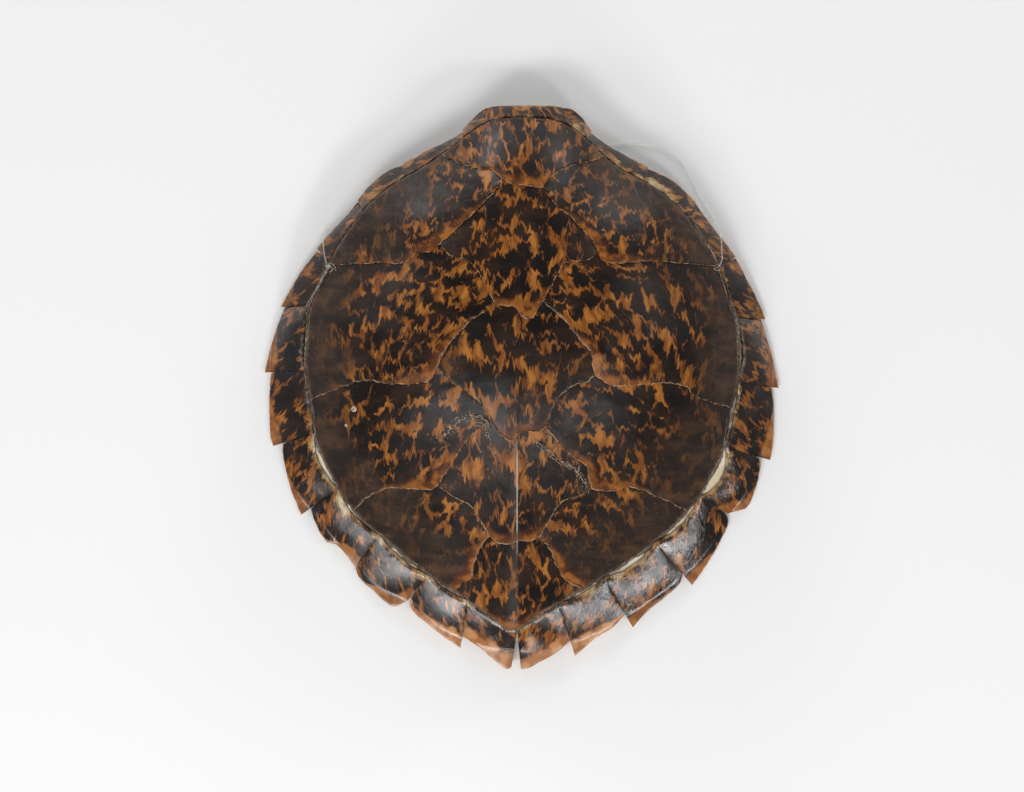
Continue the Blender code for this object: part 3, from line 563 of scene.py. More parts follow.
# %% Amber flames
# Waves per millimetre across and along the growth lines. The third number keeps scutes different.
DRIFT = (0.11, 0.11, 1.0)
BLOTCHES = (0.112, 0.074, 1.0)
SPREAD = (0.110, 0.075, 1.0)
FLECKS = (0.50, 0.20, 1.0)
CHIPS = (1.5, 0.8, 1.0)
GLOW = (0.30, 0.05, 1.0)
TEETH = {13.0: (0.55, 0.045, 1.0), 6.0: (1.0, 0.10, 1.0)}     # by their reach in millimetres
DARK_HORN = ("17110e", "2e1f16")
RUSTY_HORN = "3a200f"
FLAME_EDGE = "5c3519"
FLAME = ("7d471b", "ae702f")


def frayed_grain(tree, grain):
    """The growth coordinates, drifting a little, with teeth along the growth lines."""
    swirl = add_node(tree, "ShaderNodeTexNoise", {"Vector": stretched(tree, grain, DRIFT), "Scale": 1.0,
                                                  "Detail": 1.0}).outputs["Color"]
    drift = stretched(tree, swirl, (6.0, 7.0, 0.0), (-3.0, -3.5, 0.0))
    teeth = [swing(tree, noise(tree, stretched(tree, grain, scale), 1.0, 1.0, 0.6), reach)
             for reach, scale in TEETH.items()]
    shift = add_node(tree, "ShaderNodeCombineXYZ", {"Y": plus(tree, *teeth)}).outputs[0]
    return vector_maths(tree, 'ADD', vector_maths(tree, 'ADD', grain, drift), shift)


def flames(tree, grain, cloud, amber_share):
    """Clean horn: sharp amber flames on dark."""
    frayed = frayed_grain(tree, grain)
    veins = add_node(tree, "ShaderNodeTexVoronoi",
                     {"Vector": stretched(tree, frayed, BLOTCHES), "Scale": 1.0, "Randomness": 1.0},
                     feature='DISTANCE_TO_EDGE').outputs["Distance"]
    spread = noise(tree, stretched(tree, frayed, SPREAD, (31, 17, 3)))
    flecks = noise(tree, stretched(tree, frayed, FLECKS, (7, 3, 5)))
    chips = noise(tree, stretched(tree, grain, CHIPS, (2, 8, 4)), detail=1.0)
    depth = minus(tree, plus(tree, swing(tree, spread, 1.05), amber_share), veins)
    depth = plus(tree, depth, plus(tree, swing(tree, chips, 0.13), swing(tree, flecks, 0.28)))
    dark = mixed(tree, step(tree, cloud, 0.40, 0.66), *DARK_HORN)
    dark = stained(tree, dark, step(tree, depth, -0.10, 0.01), 0.45, RUSTY_HORN)
    glow = noise(tree, stretched(tree, frayed, GLOW, (1, 4, 8)))
    amber = mixed(tree, step(tree, glow, 0.35, 0.68), *FLAME)
    amber = mixed(tree, step(tree, depth, -0.01, 0.13), FLAME_EDGE, amber)
    return mixed(tree, step(tree, depth, -0.016, 0.018), dark, amber)


# %% [markdown]
# Age changes the clean pattern. Old outer parts are hazy and dull, and the rear keel is scratched
# white, with a painted highlight along its sharp crest. A free edge is thin, honey-coloured horn,
# widest near the growth corner, with a pale ragged lip. Next to the gutter the horn is dusty, with
# cream patches worn into it.

# %% Wear on the horn, and a painted highlight on the keel
# The keel's pale colour stands for real scratches and for a painted highlight along its crest.
KEEL_SCRATCH_AND_HIGHLIGHT = "c9c3b8"
DULL_HORN = ("261d17", "4b3626")
HONEY_INSIDE = "4c2412"
RAGGED_LIP = "c4a884"
CREAM = ("a87f3c", "d6c4a0")
GUTTER_DUST = "6b5645"


def from_keel(tree, x, y):
    """Distance sideways from the keel, in metres."""
    past = maths(tree, 'MAXIMUM', minus(tree, y, CENTRE[1] * MM), 0.0)
    off = minus(tree, x, times(tree, past, KEEL_TURN))
    return maths(tree, 'ABSOLUTE', minus(tree, off, CENTRE[0] * MM))


# Pale line down the rear keel: partly real scratches, partly a painted highlight on its sharp crest.
def scratched_and_highlit_keel(tree, place, base):
    x, y, _ = apart(tree, place)
    starts, ends = step(tree, y, -0.030, -0.046), step(tree, y, -0.110, -0.090)
    scratch_and_highlight = times(tree, step(tree, from_keel(tree, x, y), 0.00045, 0.00020), times(tree, starts, ends))
    return stained(tree, base, scratch_and_highlight, 0.75, KEEL_SCRATCH_AND_HIGHLIGHT)


def hazed(tree, place, haze, cloud, base):
    veil = step(tree, times(tree, haze, plus(tree, 0.45, times(tree, cloud, 0.8))), 0.0, 0.9)
    streaks = noise(tree, stretched(tree, place, (26.0, 105.0, 60.0)), 1.0, 3.0, 0.6)
    return stained(tree, base, veil, 0.90, mixed(tree, step(tree, streaks, 0.40, 0.70), *DULL_HORN))


def honey_edged(tree, grain, edge, corner, base, width, codes, far, clear):
    """A band along the free edge: width in millimetres, far is its strength far from the corner."""
    wave = noise(tree, stretched(tree, grain, DRIFT, (5, 2, 9)))
    reach = times(tree, plus(tree, 0.07, step(tree, corner, 1.0, 0.05)), width)
    reach = times(tree, reach, plus(tree, wave, 0.45))
    band = step(tree, maths(tree, 'DIVIDE', edge, reach), 1.0, clear)
    honey = mixed(tree, step(tree, wave, 0.40, 0.62), *codes)
    honey = mixed(tree, step(tree, band, 0.25, 0.90), HONEY_INSIDE, honey)
    near_corner = plus(tree, times(tree, step(tree, corner, 0.75, 0.10), 1.0 - far), far)
    return stained(tree, base, times(tree, step(tree, band, 0.0, 0.7), near_corner), 0.84 + 0.35 * clear,
                   honey)


def worn_at_gutter(tree, place, from_gutter, cream_share, growth_lines, tatter, base):
    patches = minus(tree, times(tree, cream_share, 2.6), from_gutter)
    mottle = noise(tree, place, 260.0, 4.0, 0.65)
    broken = noise(tree, place, 75.0, 1.0, 0.5)
    for field, reach, middle in ((mottle, 8.0, 0.5), (growth_lines, 11.0, 0.5), (broken, 14.0, 0.55)):
        patches = plus(tree, patches, swing(tree, field, reach, middle))
    cream = mixed(tree, step(tree, patches, 0.3, 4.5), *CREAM)
    base = stained(tree, base, step(tree, patches, 0.0, 0.5), 0.85, cream)
    dusty = times(tree, step(tree, from_gutter, 2.6, 0.3), step(tree, tatter, 0.38, 0.62))
    return stained(tree, base, dusty, 0.55, GUTTER_DUST)


# %% [markdown]
# One recipe makes four kinds of horn. On the back it is satin. On the rear rim it is glossy and
# clearer towards its edge, clearest over the tail, and on the front rim it is dull.

# %% Horn finishes
CLOUDS = (0.05, 0.07, 1.0)
GROWTH_LINES = (2.4, 0.12, 1.0)
HORN_IOR = 1.54
HORN_RELIEF = 0.00022            # metres


def horn_material(name, amber_share, honey_width, honey_codes, honey_far, clear, roughness, sheen):
    material, tree, shader = start_material(name)
    place, grain = object_place(tree), stored(tree, "grain")
    edge, corner, haze = apart(tree, stored(tree, "wear"))
    from_gutter, cream_share, amber_bias = apart(tree, stored(tree, "gutter_side"))
    cloud = noise(tree, stretched(tree, grain, CLOUDS, (3, 9, 2)), 1.0, 3.0, 0.55)
    growth_lines = noise(tree, stretched(tree, grain, GROWTH_LINES), 1.0, 3.0, 0.6)
    growth_rings = add_node(tree, "ShaderNodeCombineXYZ", {"X": edge}).outputs[0]
    growth_rings = noise(tree, growth_rings, 0.55, 2.0, 0.6)
    tatter = noise(tree, place, 330.0, 3.0, 0.65)
    smear = noise(tree, place, 55.0, 4.0, 0.6)

    base = flames(tree, grain, cloud, plus(tree, amber_bias, amber_share))
    base = scratched_and_highlit_keel(tree, place, base)
    base = hazed(tree, place, haze, cloud, base)
    base = honey_edged(tree, grain, edge, corner, base, honey_width, honey_codes, honey_far, clear)
    lip = times(tree, step(tree, edge, 0.55, 0.20), step(tree, tatter, 0.47, 0.58))
    base = stained(tree, base, lip, 0.75, RAGGED_LIP)
    base = worn_at_gutter(tree, place, from_gutter, cream_share, growth_lines, tatter, base)

    gloss = plus(tree, plus(tree, roughness, swing(tree, smear, 0.35)), times(tree, haze, 0.10))
    fill_inputs(tree, shader, {"Base Color": base, "Roughness": gloss, "IOR": HORN_IOR,
                               "Specular IOR Level": sheen})
    relief = plus(tree, times(tree, growth_lines, 0.35), times(tree, growth_rings, 0.25))
    bump(tree, shader, plus(tree, relief, times(tree, smear, 1.6)), HORN_RELIEF)
    return material


scute_horn = horn_material("scute_horn", amber_share=0.062, honey_width=11.5,
                           honey_codes=("643615", "a76526"), honey_far=0.28, clear=0.0,
                           roughness=0.33, sheen=0.20)
rim_horn = horn_material("rim_horn", amber_share=0.070, honey_width=11.0,
                         honey_codes=("8a5226", "ad7038"), honey_far=0.9, clear=0.36,
                         roughness=0.19, sheen=0.66)
tail_horn = horn_material("tail_horn", amber_share=0.070, honey_width=13.0,
                          honey_codes=("ab6d3d", "cb935f"), honey_far=1.0, clear=0.30,
                          roughness=0.19, sheen=0.66)
front_horn = horn_material("front_rim_horn", amber_share=0.052, honey_width=11.0,
                           honey_codes=("6b4524", "a06c36"), honey_far=0.8, clear=0.2,
                           roughness=0.40, sheen=0.18)
print("horn finishes of", len(scute_horn.node_tree.nodes), "nodes")

# %% [markdown]
# ## Scutes of the back
# Thirteen scutes lie like roof tiles: each rear edge is free and lies over the next scute, whose
# front edge is tucked under it. Each border is one smooth curve through listed points. On the
# real shell the free edge is thin and a little ragged, so the outline wobbles there. The tucked side
# is carried on under the neighbour. The plate is a triangulated sheet with rows close to its edge.

# %% Borders between the scutes
ACROSS = {
    "v1_v2": [(-11, 129.5), (-4, 127), (3, 126), (10, 125), (13, 125.5)],
    "v2_v3": [(-17.5, 53.5), (-11, 51), (-4, 50), (-1, 45), (3, 43), (7.5, 45), (10, 49), (13.5, 54)],
    "v3_v4": [(-19.5, -21), (-14.5, -28), (-10.5, -32), (-5.5, -33), (-3, -29.5), (2.5, -27.5),
              (10, -27), (15, -24.5)],
    "v4_v5": [(-20, -93.5), (-15, -97.5), (-5, -98), (-2.5, -96.5), (5, -96.5), (11.5, -93.5)],
}
BORDERS = {
    "left": {
        "v1_c1": [(-11, 129.5), (-20, 136), (-26, 137), (-38, 141), (-46, 144), (-51, 148)],
        "c1_v2": [(-11, 129.5), (-22, 117), (-40, 100), (-51, 90)],
        "c1_c2": [(-51, 90), (-57, 85), (-66, 84), (-71, 79), (-95, 78.5), (-122, 77)],
        "v2_c2": [(-17.5, 53.5), (-22, 62), (-32, 78), (-46, 83), (-51, 90)],
        "c2_v3": [(-17.5, 53.5), (-24, 47), (-32, 41.5), (-47, 24), (-53, 12.5)],
        "c2_c3": [(-53, 12.5), (-57.5, 5), (-65, 3), (-83, 2.5), (-102, 4.5), (-111, 1.5), (-134, -7.5)],
        "v3_c3": [(-19.5, -21), (-27, -9), (-45.5, 5), (-53, 12.5)],
        "c3_v4": [(-19.5, -21), (-27.5, -25.5), (-34, -32), (-47, -52), (-53, -61.5)],
        "c3_c4": [(-53, -61.5), (-58, -64.5), (-80, -63), (-90, -65), (-98, -70), (-107, -78)],
        "v4_c4": [(-20, -93.5), (-24, -88), (-31.5, -75), (-42, -69), (-53, -61.5)],
        "c4_v5": [(-20, -93.5), (-26, -100), (-31, -114), (-32.5, -120.5), (-37.5, -124.5), (-43, -129)],
    },
    "right": {
        "v1_c1": [(13, 125.5), (20, 133), (31, 139), (40, 141.5), (48, 144), (52, 147)],
        "c1_v2": [(13, 125.5), (23, 112), (28, 109), (36, 100), (44, 92), (47.5, 83.5)],
        "c1_c2": [(47.5, 83.5), (51, 79), (56, 77.5), (83, 79.5), (103, 78), (125, 77)],
        "v2_c2": [(13.5, 54), (17.5, 62), (27, 77), (41, 80), (47.5, 83.5)],
        "c2_v3": [(13.5, 54), (20.5, 47), (36, 30), (43.5, 21), (43.5, 13.5), (45.5, 8)],
        "c2_c3": [(45.5, 8), (51, 3.5), (58, 1.5), (76, 2), (92, 3), (103, 0.5), (109, -5), (132, -13)],
        "v3_c3": [(15, -24.5), (22, -7), (34, 2), (41, 3.5), (45.5, 8)],
        "c3_v4": [(15, -24.5), (27.5, -40), (40, -49), (41.5, -56.5), (44, -63.5)],
        "c3_c4": [(44, -63.5), (52, -65), (60, -65), (66, -62.5), (86, -69), (106, -79)],
        "v4_c4": [(11.5, -93.5), (16, -86), (25, -72.5), (36.5, -68), (44, -63.5)],
        "c4_v5": [(11.5, -93.5), (17, -101.5), (24, -117), (28, -122.5), (35, -126), (38, -128.5)],
    },
}
TO_GUTTER = ("v1_c1", "c1_c2", "c2_c3", "c3_c4", "c4_v5")
print("borders", len(ACROSS) + sum(len(lines) for lines in BORDERS.values()))


# %% Borders joined round each scute
def to_gutter(point):
    angle, _ = polar(np.array([point]))
    return tuple(on_spoke(angle, ring_at("gutter", angle)[0])[0])


def border(name, side=None):
    points = list(ACROSS[name] if side is None else BORDERS[side][name])
    if name in TO_GUTTER:
        points[-1] = to_gutter(points[-1])
    return points


def gutter_run(start, end):
    """Plan points along the gutter between two of its points, by the shorter way."""
    (first, last), _ = polar(np.array((start, end)))
    turn = (last - first + 180) % 360 - 180
    angles = first + np.linspace(0, turn, max(3, round(abs(turn)) + 1))
    run = on_spoke(angles, ring_at("gutter", angles)[0])
    return [start] + [tuple(p) for p in run[1:-1]] + [end]


def scute_runs():
    """Each scute as a chain of runs, each free, tucked under a neighbour or along the gutter."""
    left = {name: border(name, "left") for name in BORDERS["left"]}
    right = {name: border(name, "right") for name in BORDERS["right"]}
    across = {name: border(name) for name in ACROSS}
    plans = {"vertebral_1": [("gutter", gutter_run(left["v1_c1"][-1], right["v1_c1"][-1])),
                             ("free", right["v1_c1"]), ("free", across["v1_v2"]),
                             ("free", left["v1_c1"])]}
    for k in (2, 3, 4):
        plans[f"vertebral_{k}"] = [
            ("tucked", across[f"v{k - 1}_v{k}"]), ("tucked", right[f"c{k - 1}_v{k}"]),
            ("free", right[f"v{k}_c{k}"]), ("free", across[f"v{k}_v{k + 1}"]),
            ("free", left[f"v{k}_c{k}"]), ("tucked", left[f"c{k - 1}_v{k}"])]
    plans["vertebral_5"] = [("tucked", across["v4_v5"]), ("tucked", right["c4_v5"]),
                            ("gutter", gutter_run(left["c4_v5"][-1], right["c4_v5"][-1])),
                            ("tucked", left["c4_v5"])]
    for side, lines in (("left", left), ("right", right)):
        for k in (1, 2, 3, 4):
            front = lines["v1_c1"] if k == 1 else lines[f"c{k - 1}_c{k}"]
            rear = lines["c4_v5"] if k == 4 else lines[f"c{k}_c{k + 1}"]
            runs = [("tucked", front[::-1])]
            runs += [] if k == 1 else [("tucked", lines[f"v{k}_c{k}"])]
            runs += [] if k == 4 else [("free", lines[f"c{k}_v{k + 1}"])]
            runs += [("free", rear), ("gutter", gutter_run(rear[-1], front[-1]))]
            plans[f"costal_{side}_{k}"] = runs
    return plans


# %% Outline of a scute
EDGE_PITCH = 0.8
UNDERLAP = 1.8                   # how far a tucked side is carried on under its neighbour
CORNER_FADE = 4.0
EDGE_ROWS = (0.3, 0.75)          # rows of points this far inside a free edge
FREE_WOBBLE = ((0.45, 6.5), (0.38, 2.0))
GUTTER_WOBBLE = ((0.35, 4.0), (0.2, 1.9))
CHIP_SIZE = 3.1
CHIP_DEPTH = 1.4


def head_to_tail(runs):
    """Turn runs round where needed, so that each starts where the one before it ends."""
    ordered = [runs[0]]
    for kind, run in runs[1:]:
        end = ordered[-1][1][-1]
        if math.dist(end, run[0]) > math.dist(end, run[-1]):
            run = run[::-1]
        ordered.append((kind, run))
    return ordered


def outline_of(runs, seed):
    """Outline, its runs by kind, and the rows just inside its free edges."""
    ordered = head_to_tail(runs)
    corners = np.vstack([np.array(run[:-1], float) for _, run in ordered])
    following = np.roll(corners, -1, axis=0)
    sign = np.sign((corners[:, 0] * following[:, 1] - following[:, 0] * corners[:, 1]).sum())
    outline, kept, rows = [], {"free": [], "tucked": [], "gutter": []}, []
    for kind, run in ordered:
        p = smooth_run(run, EDGE_PITCH)
        heading = np.gradient(p, axis=0)
        heading /= np.linalg.norm(heading, axis=1, keepdims=True)
        outward = np.column_stack((heading[:, 1], -heading[:, 0])) * sign
        along = run_lengths(p)
        fade = ease(np.minimum(along, along[-1] - along) / CORNER_FADE)
        if kind == "free":
            chips = np.minimum(lumps(p, CHIP_SIZE, seed + 5) + 0.35, 0) * CHIP_DEPTH
            push = fade * (wobble(p, seed, *FREE_WOBBLE) + chips)
        elif kind == "tucked":
            push = fade * UNDERLAP
        else:
            push = fade * wobble(p, seed + 2, *GUTTER_WOBBLE)
        moved = p + outward * push[:, None]
        kept[kind].append(p if kind == "tucked" else moved)
        if kind != "tucked":
            rows += [moved - outward * inset for inset in EDGE_ROWS]
        outline.append(moved[:-1])
    outline = np.vstack(outline)
    return (outline if sign > 0 else outline[::-1]), kept, np.vstack(rows)


# %% [markdown]
# A sheet of triangles fills the outline. Its top is low where the scute is tucked under its
# neighbours and high at its free edge, as each plate is a slightly tilted tile. The underside rises
# towards the free edge so that the next scute fits below it.

# %% Sheet of points
SHEET_PITCH = 1.3
ROW_PITCH = SHEET_PITCH * 0.87   # rows of even triangles
GRID_TO_EDGE = 1.15              # the least distances between kinds of points
ROW_TO_EDGE = 0.22
ROW_TO_KEEL = 0.3


def sheet_points(outline, rows, with_keel):
    """Even grid of points inside an outline, rows along its edges and a row on the keel."""
    closed = [np.vstack((outline, outline[:1]))]
    low, high = outline.min(0), outline.max(0)
    grid = []
    for k, y in enumerate(np.arange(low[1], high[1], ROW_PITCH)):
        x = np.arange(low[0] + (k % 2) * SHEET_PITCH / 2, high[0], SHEET_PITCH)
        grid.append(np.column_stack((x, np.full(len(x), y))))
    grid = np.vstack(grid)

    def kept(points, room):
        points = points[inside(points, outline)]
        return points[distance_to(points, closed) > room]

    grid, rows = kept(grid, GRID_TO_EDGE), kept(rows, ROW_TO_EDGE)
    keel = np.empty((0, 2))
    if with_keel:
        grid = grid[np.abs(grid[:, 0] - keel_x(grid[:, 1])) > SHEET_PITCH * 0.5]
        rows = rows[np.abs(rows[:, 0] - keel_x(rows[:, 1])) > ROW_TO_KEEL]
        y = np.arange(low[1], high[1], SHEET_PITCH)
        keel = kept(np.column_stack((keel_x(y), y)), ROW_TO_KEEL)
    return rows, grid, keel


# %% Plates of the back
SKIN_TUCKED = -0.3               # lifts of the top: tucked under a neighbour, and at a free edge
SKIN_FREE = 0.8
SKIN_UNDER = -1.25               # lifts of the underside: mostly, at a free edge, at the gutter
UNDER_FREE = -0.1
GUTTER_FOOT = -1.95
ROOM_BELOW = 5.0                 # the underside rises over this distance from a free edge
FOOT_WIDTH = 2.5                 # and falls over this one to the gutter
FREE_ROUND = (0.45, 0.8)         # rounding of the top: drop and distance
GUTTER_ROUND = (0.35, 1.4)
LAP_SLOPE = 0.25                 # fall of the part that is carried on under a neighbour
THINNEST = 0.25


def rounding(distance, drop, reach):
    return drop * (1 - ease(distance / reach))


def build_plate(name, runs, seed, relief):
    outline, kept, rows = outline_of(runs, seed)
    rows, grid, keel = sheet_points(outline, rows, name.startswith("vertebral"))
    plan = np.vstack((outline, rows, grid, keel))
    first_keel = len(plan) - len(keel)
    ridge = [(k, k + 1) for k in range(first_keel, len(plan) - 1)]
    ring = list(range(len(outline)))
    verts, _, faces, *_ = delaunay_2d_cdt([Vector(p) for p in plan], ridge, [ring], 1, 1e-4)
    flat = np.array([tuple(v) for v in verts])

    to_free, to_tucked, to_gutter_run = (distance_to(flat, kept[kind])
                                         for kind in ("free", "tucked", "gutter"))
    low, high = to_tucked, to_free
    if not kept["free"]:
        high = to_gutter_run
    elif not kept["tucked"]:
        low = to_gutter_run
    share = low / (low + high + 1e-6)
    beyond = np.zeros(len(flat), bool)
    if kept["tucked"]:
        core = np.vstack([run[:-1] for kind, run in head_to_tail(
            [(kind, smooth_run(run, EDGE_PITCH)) for kind, run in runs])])
        beyond = ~inside(flat, core) & (to_tucked < UNDERLAP + 0.3) & (to_tucked > 0.02) & (to_free > 0.05)
    lift = SKIN_TUCKED + (SKIN_FREE - SKIN_TUCKED) * share
    lift = lift - rounding(to_free, *FREE_ROUND) - rounding(to_gutter_run, *GUTTER_ROUND) + relief(flat)
    lift = np.where(beyond, SKIN_TUCKED - LAP_SLOPE * to_tucked, lift)
    under = SKIN_UNDER + (UNDER_FREE - SKIN_UNDER) * ease(1 - to_free / ROOM_BELOW)
    under = under + (GUTTER_FOOT - SKIN_UNDER) * ease(1 - to_gutter_run / FOOT_WIDTH)
    under = np.where(beyond, SKIN_UNDER, np.minimum(under, lift - THINNEST))

    count = len(flat)
    points = np.vstack((on_shell(flat, lift), on_shell(flat, under)))
    sides = dict.fromkeys(pair for face in faces for pair in zip(face, face[1:] + face[:1]))
    walls = [(b, a, a + count, b + count) for a, b in sides if (b, a) not in sides]
    below = [[k + count for k in face[::-1]] for face in faces]
    return points, list(faces) + below + walls, kept


# %% [markdown]
# Where each scute grew from, and how its growth lines fan out. The corner is its oldest spot; the
# lines meet some way behind it, so that they spread gently. Costal scutes are hazy on their outer
# halves, where the photograph shows dull brown streaks instead of clear amber.

# %% Growth lines of a scute
# For each scute, the corner it grew from, the point where its lines meet, and its blotches' size.
GROWTH = {
    "vertebral_1": ((0, 126), (0, 70), 0.80), "vertebral_2": ((-1, 45), (-1, -25), 0.80),
    "vertebral_3": ((-3, -31), (-3, -105), 1.15), "vertebral_4": ((-3, -97), (-3, -170), 1.05),
    "vertebral_5": ((-3, -157), (-3, -215), 0.85),
    "costal_left_1": ((-51, 90), (-56, 58), 0.80), "costal_left_2": ((-53, 12.5), (-64, -14), 1.0),
    "costal_left_3": ((-53, -61.5), (-60, -90), 1.0), "costal_left_4": ((-33, -122), (-38, -152), 0.9),
    "costal_right_1": ((47.5, 83.5), (54, 52), 0.80), "costal_right_2": ((45.5, 8), (56, -20), 1.0),
    "costal_right_3": ((44, -63.5), (50, -92), 1.0), "costal_right_4": ((28, -122.5), (32, -154), 0.9),
}
FAN_RADIUS = 70.0
FAN_SPREAD = 0.6
SEED_APART = 7.3


def paint_growth(obj, corner, source, size, seed, free, lobe_reach, haze, gutter, cream, bias=0.0):
    """Store the growth lines (across, along, seed), the wear (edge, corner, haze) and the gutter side."""
    plan = plan_of(obj)
    corner, source = np.array(corner, float), np.array(source, float)
    off, aim = plan - source, corner - source
    turn = np.arctan2(off[:, 1], off[:, 0]) - math.atan2(aim[1], aim[0])
    turn = (turn + math.pi) % (2 * math.pi) - math.pi
    along = np.hypot(*off.T)
    across = turn * FAN_RADIUS * (along / FAN_RADIUS) ** FAN_SPREAD
    wide, long = size
    same = np.ones(len(plan))
    write_attribute(obj, "grain", (across / wide, along / long, same * seed * SEED_APART))
    from_corner = np.hypot(*(plan - corner).T) / lobe_reach
    write_attribute(obj, "wear", (distance_to(plan, free), from_corner, haze(plan)))
    write_attribute(obj, "gutter_side", (distance_to(plan, gutter), cream * same, bias * same))


# %% Haze and relief
HAZE_LEFT = 0.63                 # it starts this far out, as a share of the way to the gutter
HAZE_RIGHT = 0.65
HAZE_FRONT = 0.07                # further out in front
DIPS = ((0.10, 9.0), (0.05, 4.0))
DIP_DEPTH = 0.12
MOUNDS = {"costal_right_2": ((50, 22), 7.0, 2.0), "costal_right_3": ((42, -17), 4.5, 0.35)}


def costal_haze(plan):
    angle, radius = polar(plan)
    share = radius / ring_at("gutter", angle)[0]
    start = np.where(plan[:, 0] > 0, HAZE_RIGHT, HAZE_LEFT) + HAZE_FRONT * ease((plan[:, 1] - 70) / 20)
    return ease((share + 0.10 * lumps(plan, 17, 3) - start) / 0.30)


def vertebral_haze(plan):
    sideways = np.abs(plan[:, 0] - keel_x(plan[:, 1]))
    return 0.75 * ease((sideways + 6 * lumps(plan, 14, 8) - 26) / 22)


def relief_of(name):
    """Small dips all over a plate, and one mound on two of them."""
    def relief(plan):
        small = wobble(plan, 11, *DIPS) - DIP_DEPTH
        if name not in MOUNDS:
            return small
        spot, radius, height = MOUNDS[name]
        away = np.hypot(*(plan - np.array(spot, float)).T) / radius
        return small + height * np.exp(-away ** 2)
    return relief


# %% Make the thirteen scutes
plates = {}
for seed, (name, runs) in enumerate(scute_runs().items(), 1):
    points, faces, kept = build_plate(name, runs, seed, relief_of(name))
    plates[name] = (save_mesh(name + "_horn", points, faces, scute_horn), kept, seed)
print("plates", sum(len(p[0].data.polygons) for p in plates.values()), "faces")

# %% [markdown]
# ## Bone shield
#
# Under the horn is one shield of bone, seen in the gutter and from below. Its outside follows the
# shell's surface, and brown crust creeps over it from the gutter. Inside, the backbone runs down
# the middle with ribs that reach to the rim, and toothed seams lie halfway between the ribs.

# %% Bone finish
RIBS = ((118, 58), (88, 38), (58, 20), (28, 3), (0, -16), (-32, -34), (-62, -50), (-92, -64))
BONE_INSIDE = 60.0               # stored as the gutter distance of the shield's inside
BONE_TONES = ("f3ead6", "dcc8a2")
PORES = "8f6f49"
SPINE_TINT = "b08f5e"
SEAMS = "7d5c38"
CRUST_TONES = ("33261b", "5f4a36")


def rib_slope(aim):
    """Slope of a rib in plan, aimed so many degrees to the front; it bends to half of that."""
    return math.tan(math.radians(aim)) * 0.5


def to_next_seam(tree, place, y, sideways):
    """Distance to the nearest of the toothed seams, each halfway between two ribs."""
    y = plus(tree, y, swing(tree, noise(tree, place, 260.0, 3.0, 0.7), 0.010))
    nearest = 1.0
    for (front_y, front_aim), (rear_y, rear_aim) in zip(RIBS, RIBS[1:]):
        reach = times(tree, sideways, rib_slope((front_aim + rear_aim) / 2))
        beyond = minus(tree, minus(tree, y, reach), (front_y + rear_y) / 2 * MM)
        nearest = maths(tree, 'MINIMUM', nearest, maths(tree, 'ABSOLUTE', beyond))
    return nearest


def bone_material():
    material, tree, shader = start_material("old_bone")
    place = object_place(tree)
    broad = noise(tree, place, 45.0, 4.0, 0.6)
    pores = noise(tree, place, 1400.0, 2.0, 0.6)
    base = mixed(tree, step(tree, broad, 0.35, 0.68), *BONE_TONES)
    base = stained(tree, base, step(tree, pores, 0.62, 0.74), 0.5, PORES)

    outward = apart(tree, stored(tree, "gutter_side"))[0]
    inside_bone = step(tree, outward, 0.6 * BONE_INSIDE, 0.9 * BONE_INSIDE)
    x, y, _ = apart(tree, place)
    sideways = from_keel(tree, x, y)
    spine = times(tree, step(tree, sideways, 0.016, 0.004), inside_bone)
    base = stained(tree, base, spine, 0.4, SPINE_TINT)
    seam = times(tree, step(tree, to_next_seam(tree, place, y, sideways), 0.0007, 0.0002), inside_bone)
    base = stained(tree, base, seam, 0.6, SEAMS)
    reach = swing(tree, noise(tree, place, 95.0, 4.0, 0.65), 6.5, middle=0.36)
    crust = step(tree, minus(tree, outward, reach), 0.5, -0.3)
    base = stained(tree, base, crust, 0.92, mixed(tree, step(tree, pores, 0.4, 0.6), *CRUST_TONES))
    fill_inputs(tree, shader, {"Base Color": base, "Roughness": 0.62})
    bump(tree, shader, plus(tree, times(tree, pores, 0.3), broad), 0.0004)
    return material


# %% Ribs and edge of the bone
BONE_TOP = -2.15                 # lift of its outside
BONE_THICK = 3.4
BONE_THICK_RIM = 2.0
BONE_EDGE_INSET = 3.2
SPINE_RIDGE = 2.5
SPINE_WIDTH = 9.0
VERTEBRA = 30.0                  # length of one swelling of the backbone
RIB_RIDGE = 1.3
RIB_WIDTH = 5.0


def bone_edge_radius(angle):
    gutter_r, gutter_z = ring_at("gutter", angle)
    rim_r, rim_z = ring_at("rim", angle)
    slope_length = np.hypot(rim_r - gutter_r, rim_z - gutter_z)
    return gutter_r + (rim_r - gutter_r) * (1 - BONE_EDGE_INSET / slope_length)


def rib_ridge(plan):
    """Height of backbone and ribs on the inside of the shield."""
    angle, radius = polar(plan)
    share = np.minimum(radius / ring_at("gutter", angle)[0], 1)
    sideways = plan[:, 0] - keel_x(plan[:, 1])
    notches = 0.75 + 0.25 * np.cos(plan[:, 1] * 2 * math.pi / VERTEBRA)
    ridge = SPINE_RIDGE * notches * np.exp(-(sideways / SPINE_WIDTH) ** 2)
    for spine_y, aim in RIBS:
        slope = rib_slope(aim)
        away = (plan[:, 1] - spine_y - np.abs(sideways) * slope) / math.hypot(1, slope)
        ridge = ridge + RIB_RIDGE * np.exp(-(away / RIB_WIDTH) ** 2) * ease(np.abs(sideways) / 12)
    return ridge * (1 - share ** 4)


# %% Build the shield
BONE_SPOKES = 400


def band(first, second, count):
    """Faces between two closed rows of count points, given the number of each row's first point."""
    after = [(k + 1) % count for k in range(count)]
    return [(first + k, second + k, second + n, first + n) for k, n in enumerate(after)]


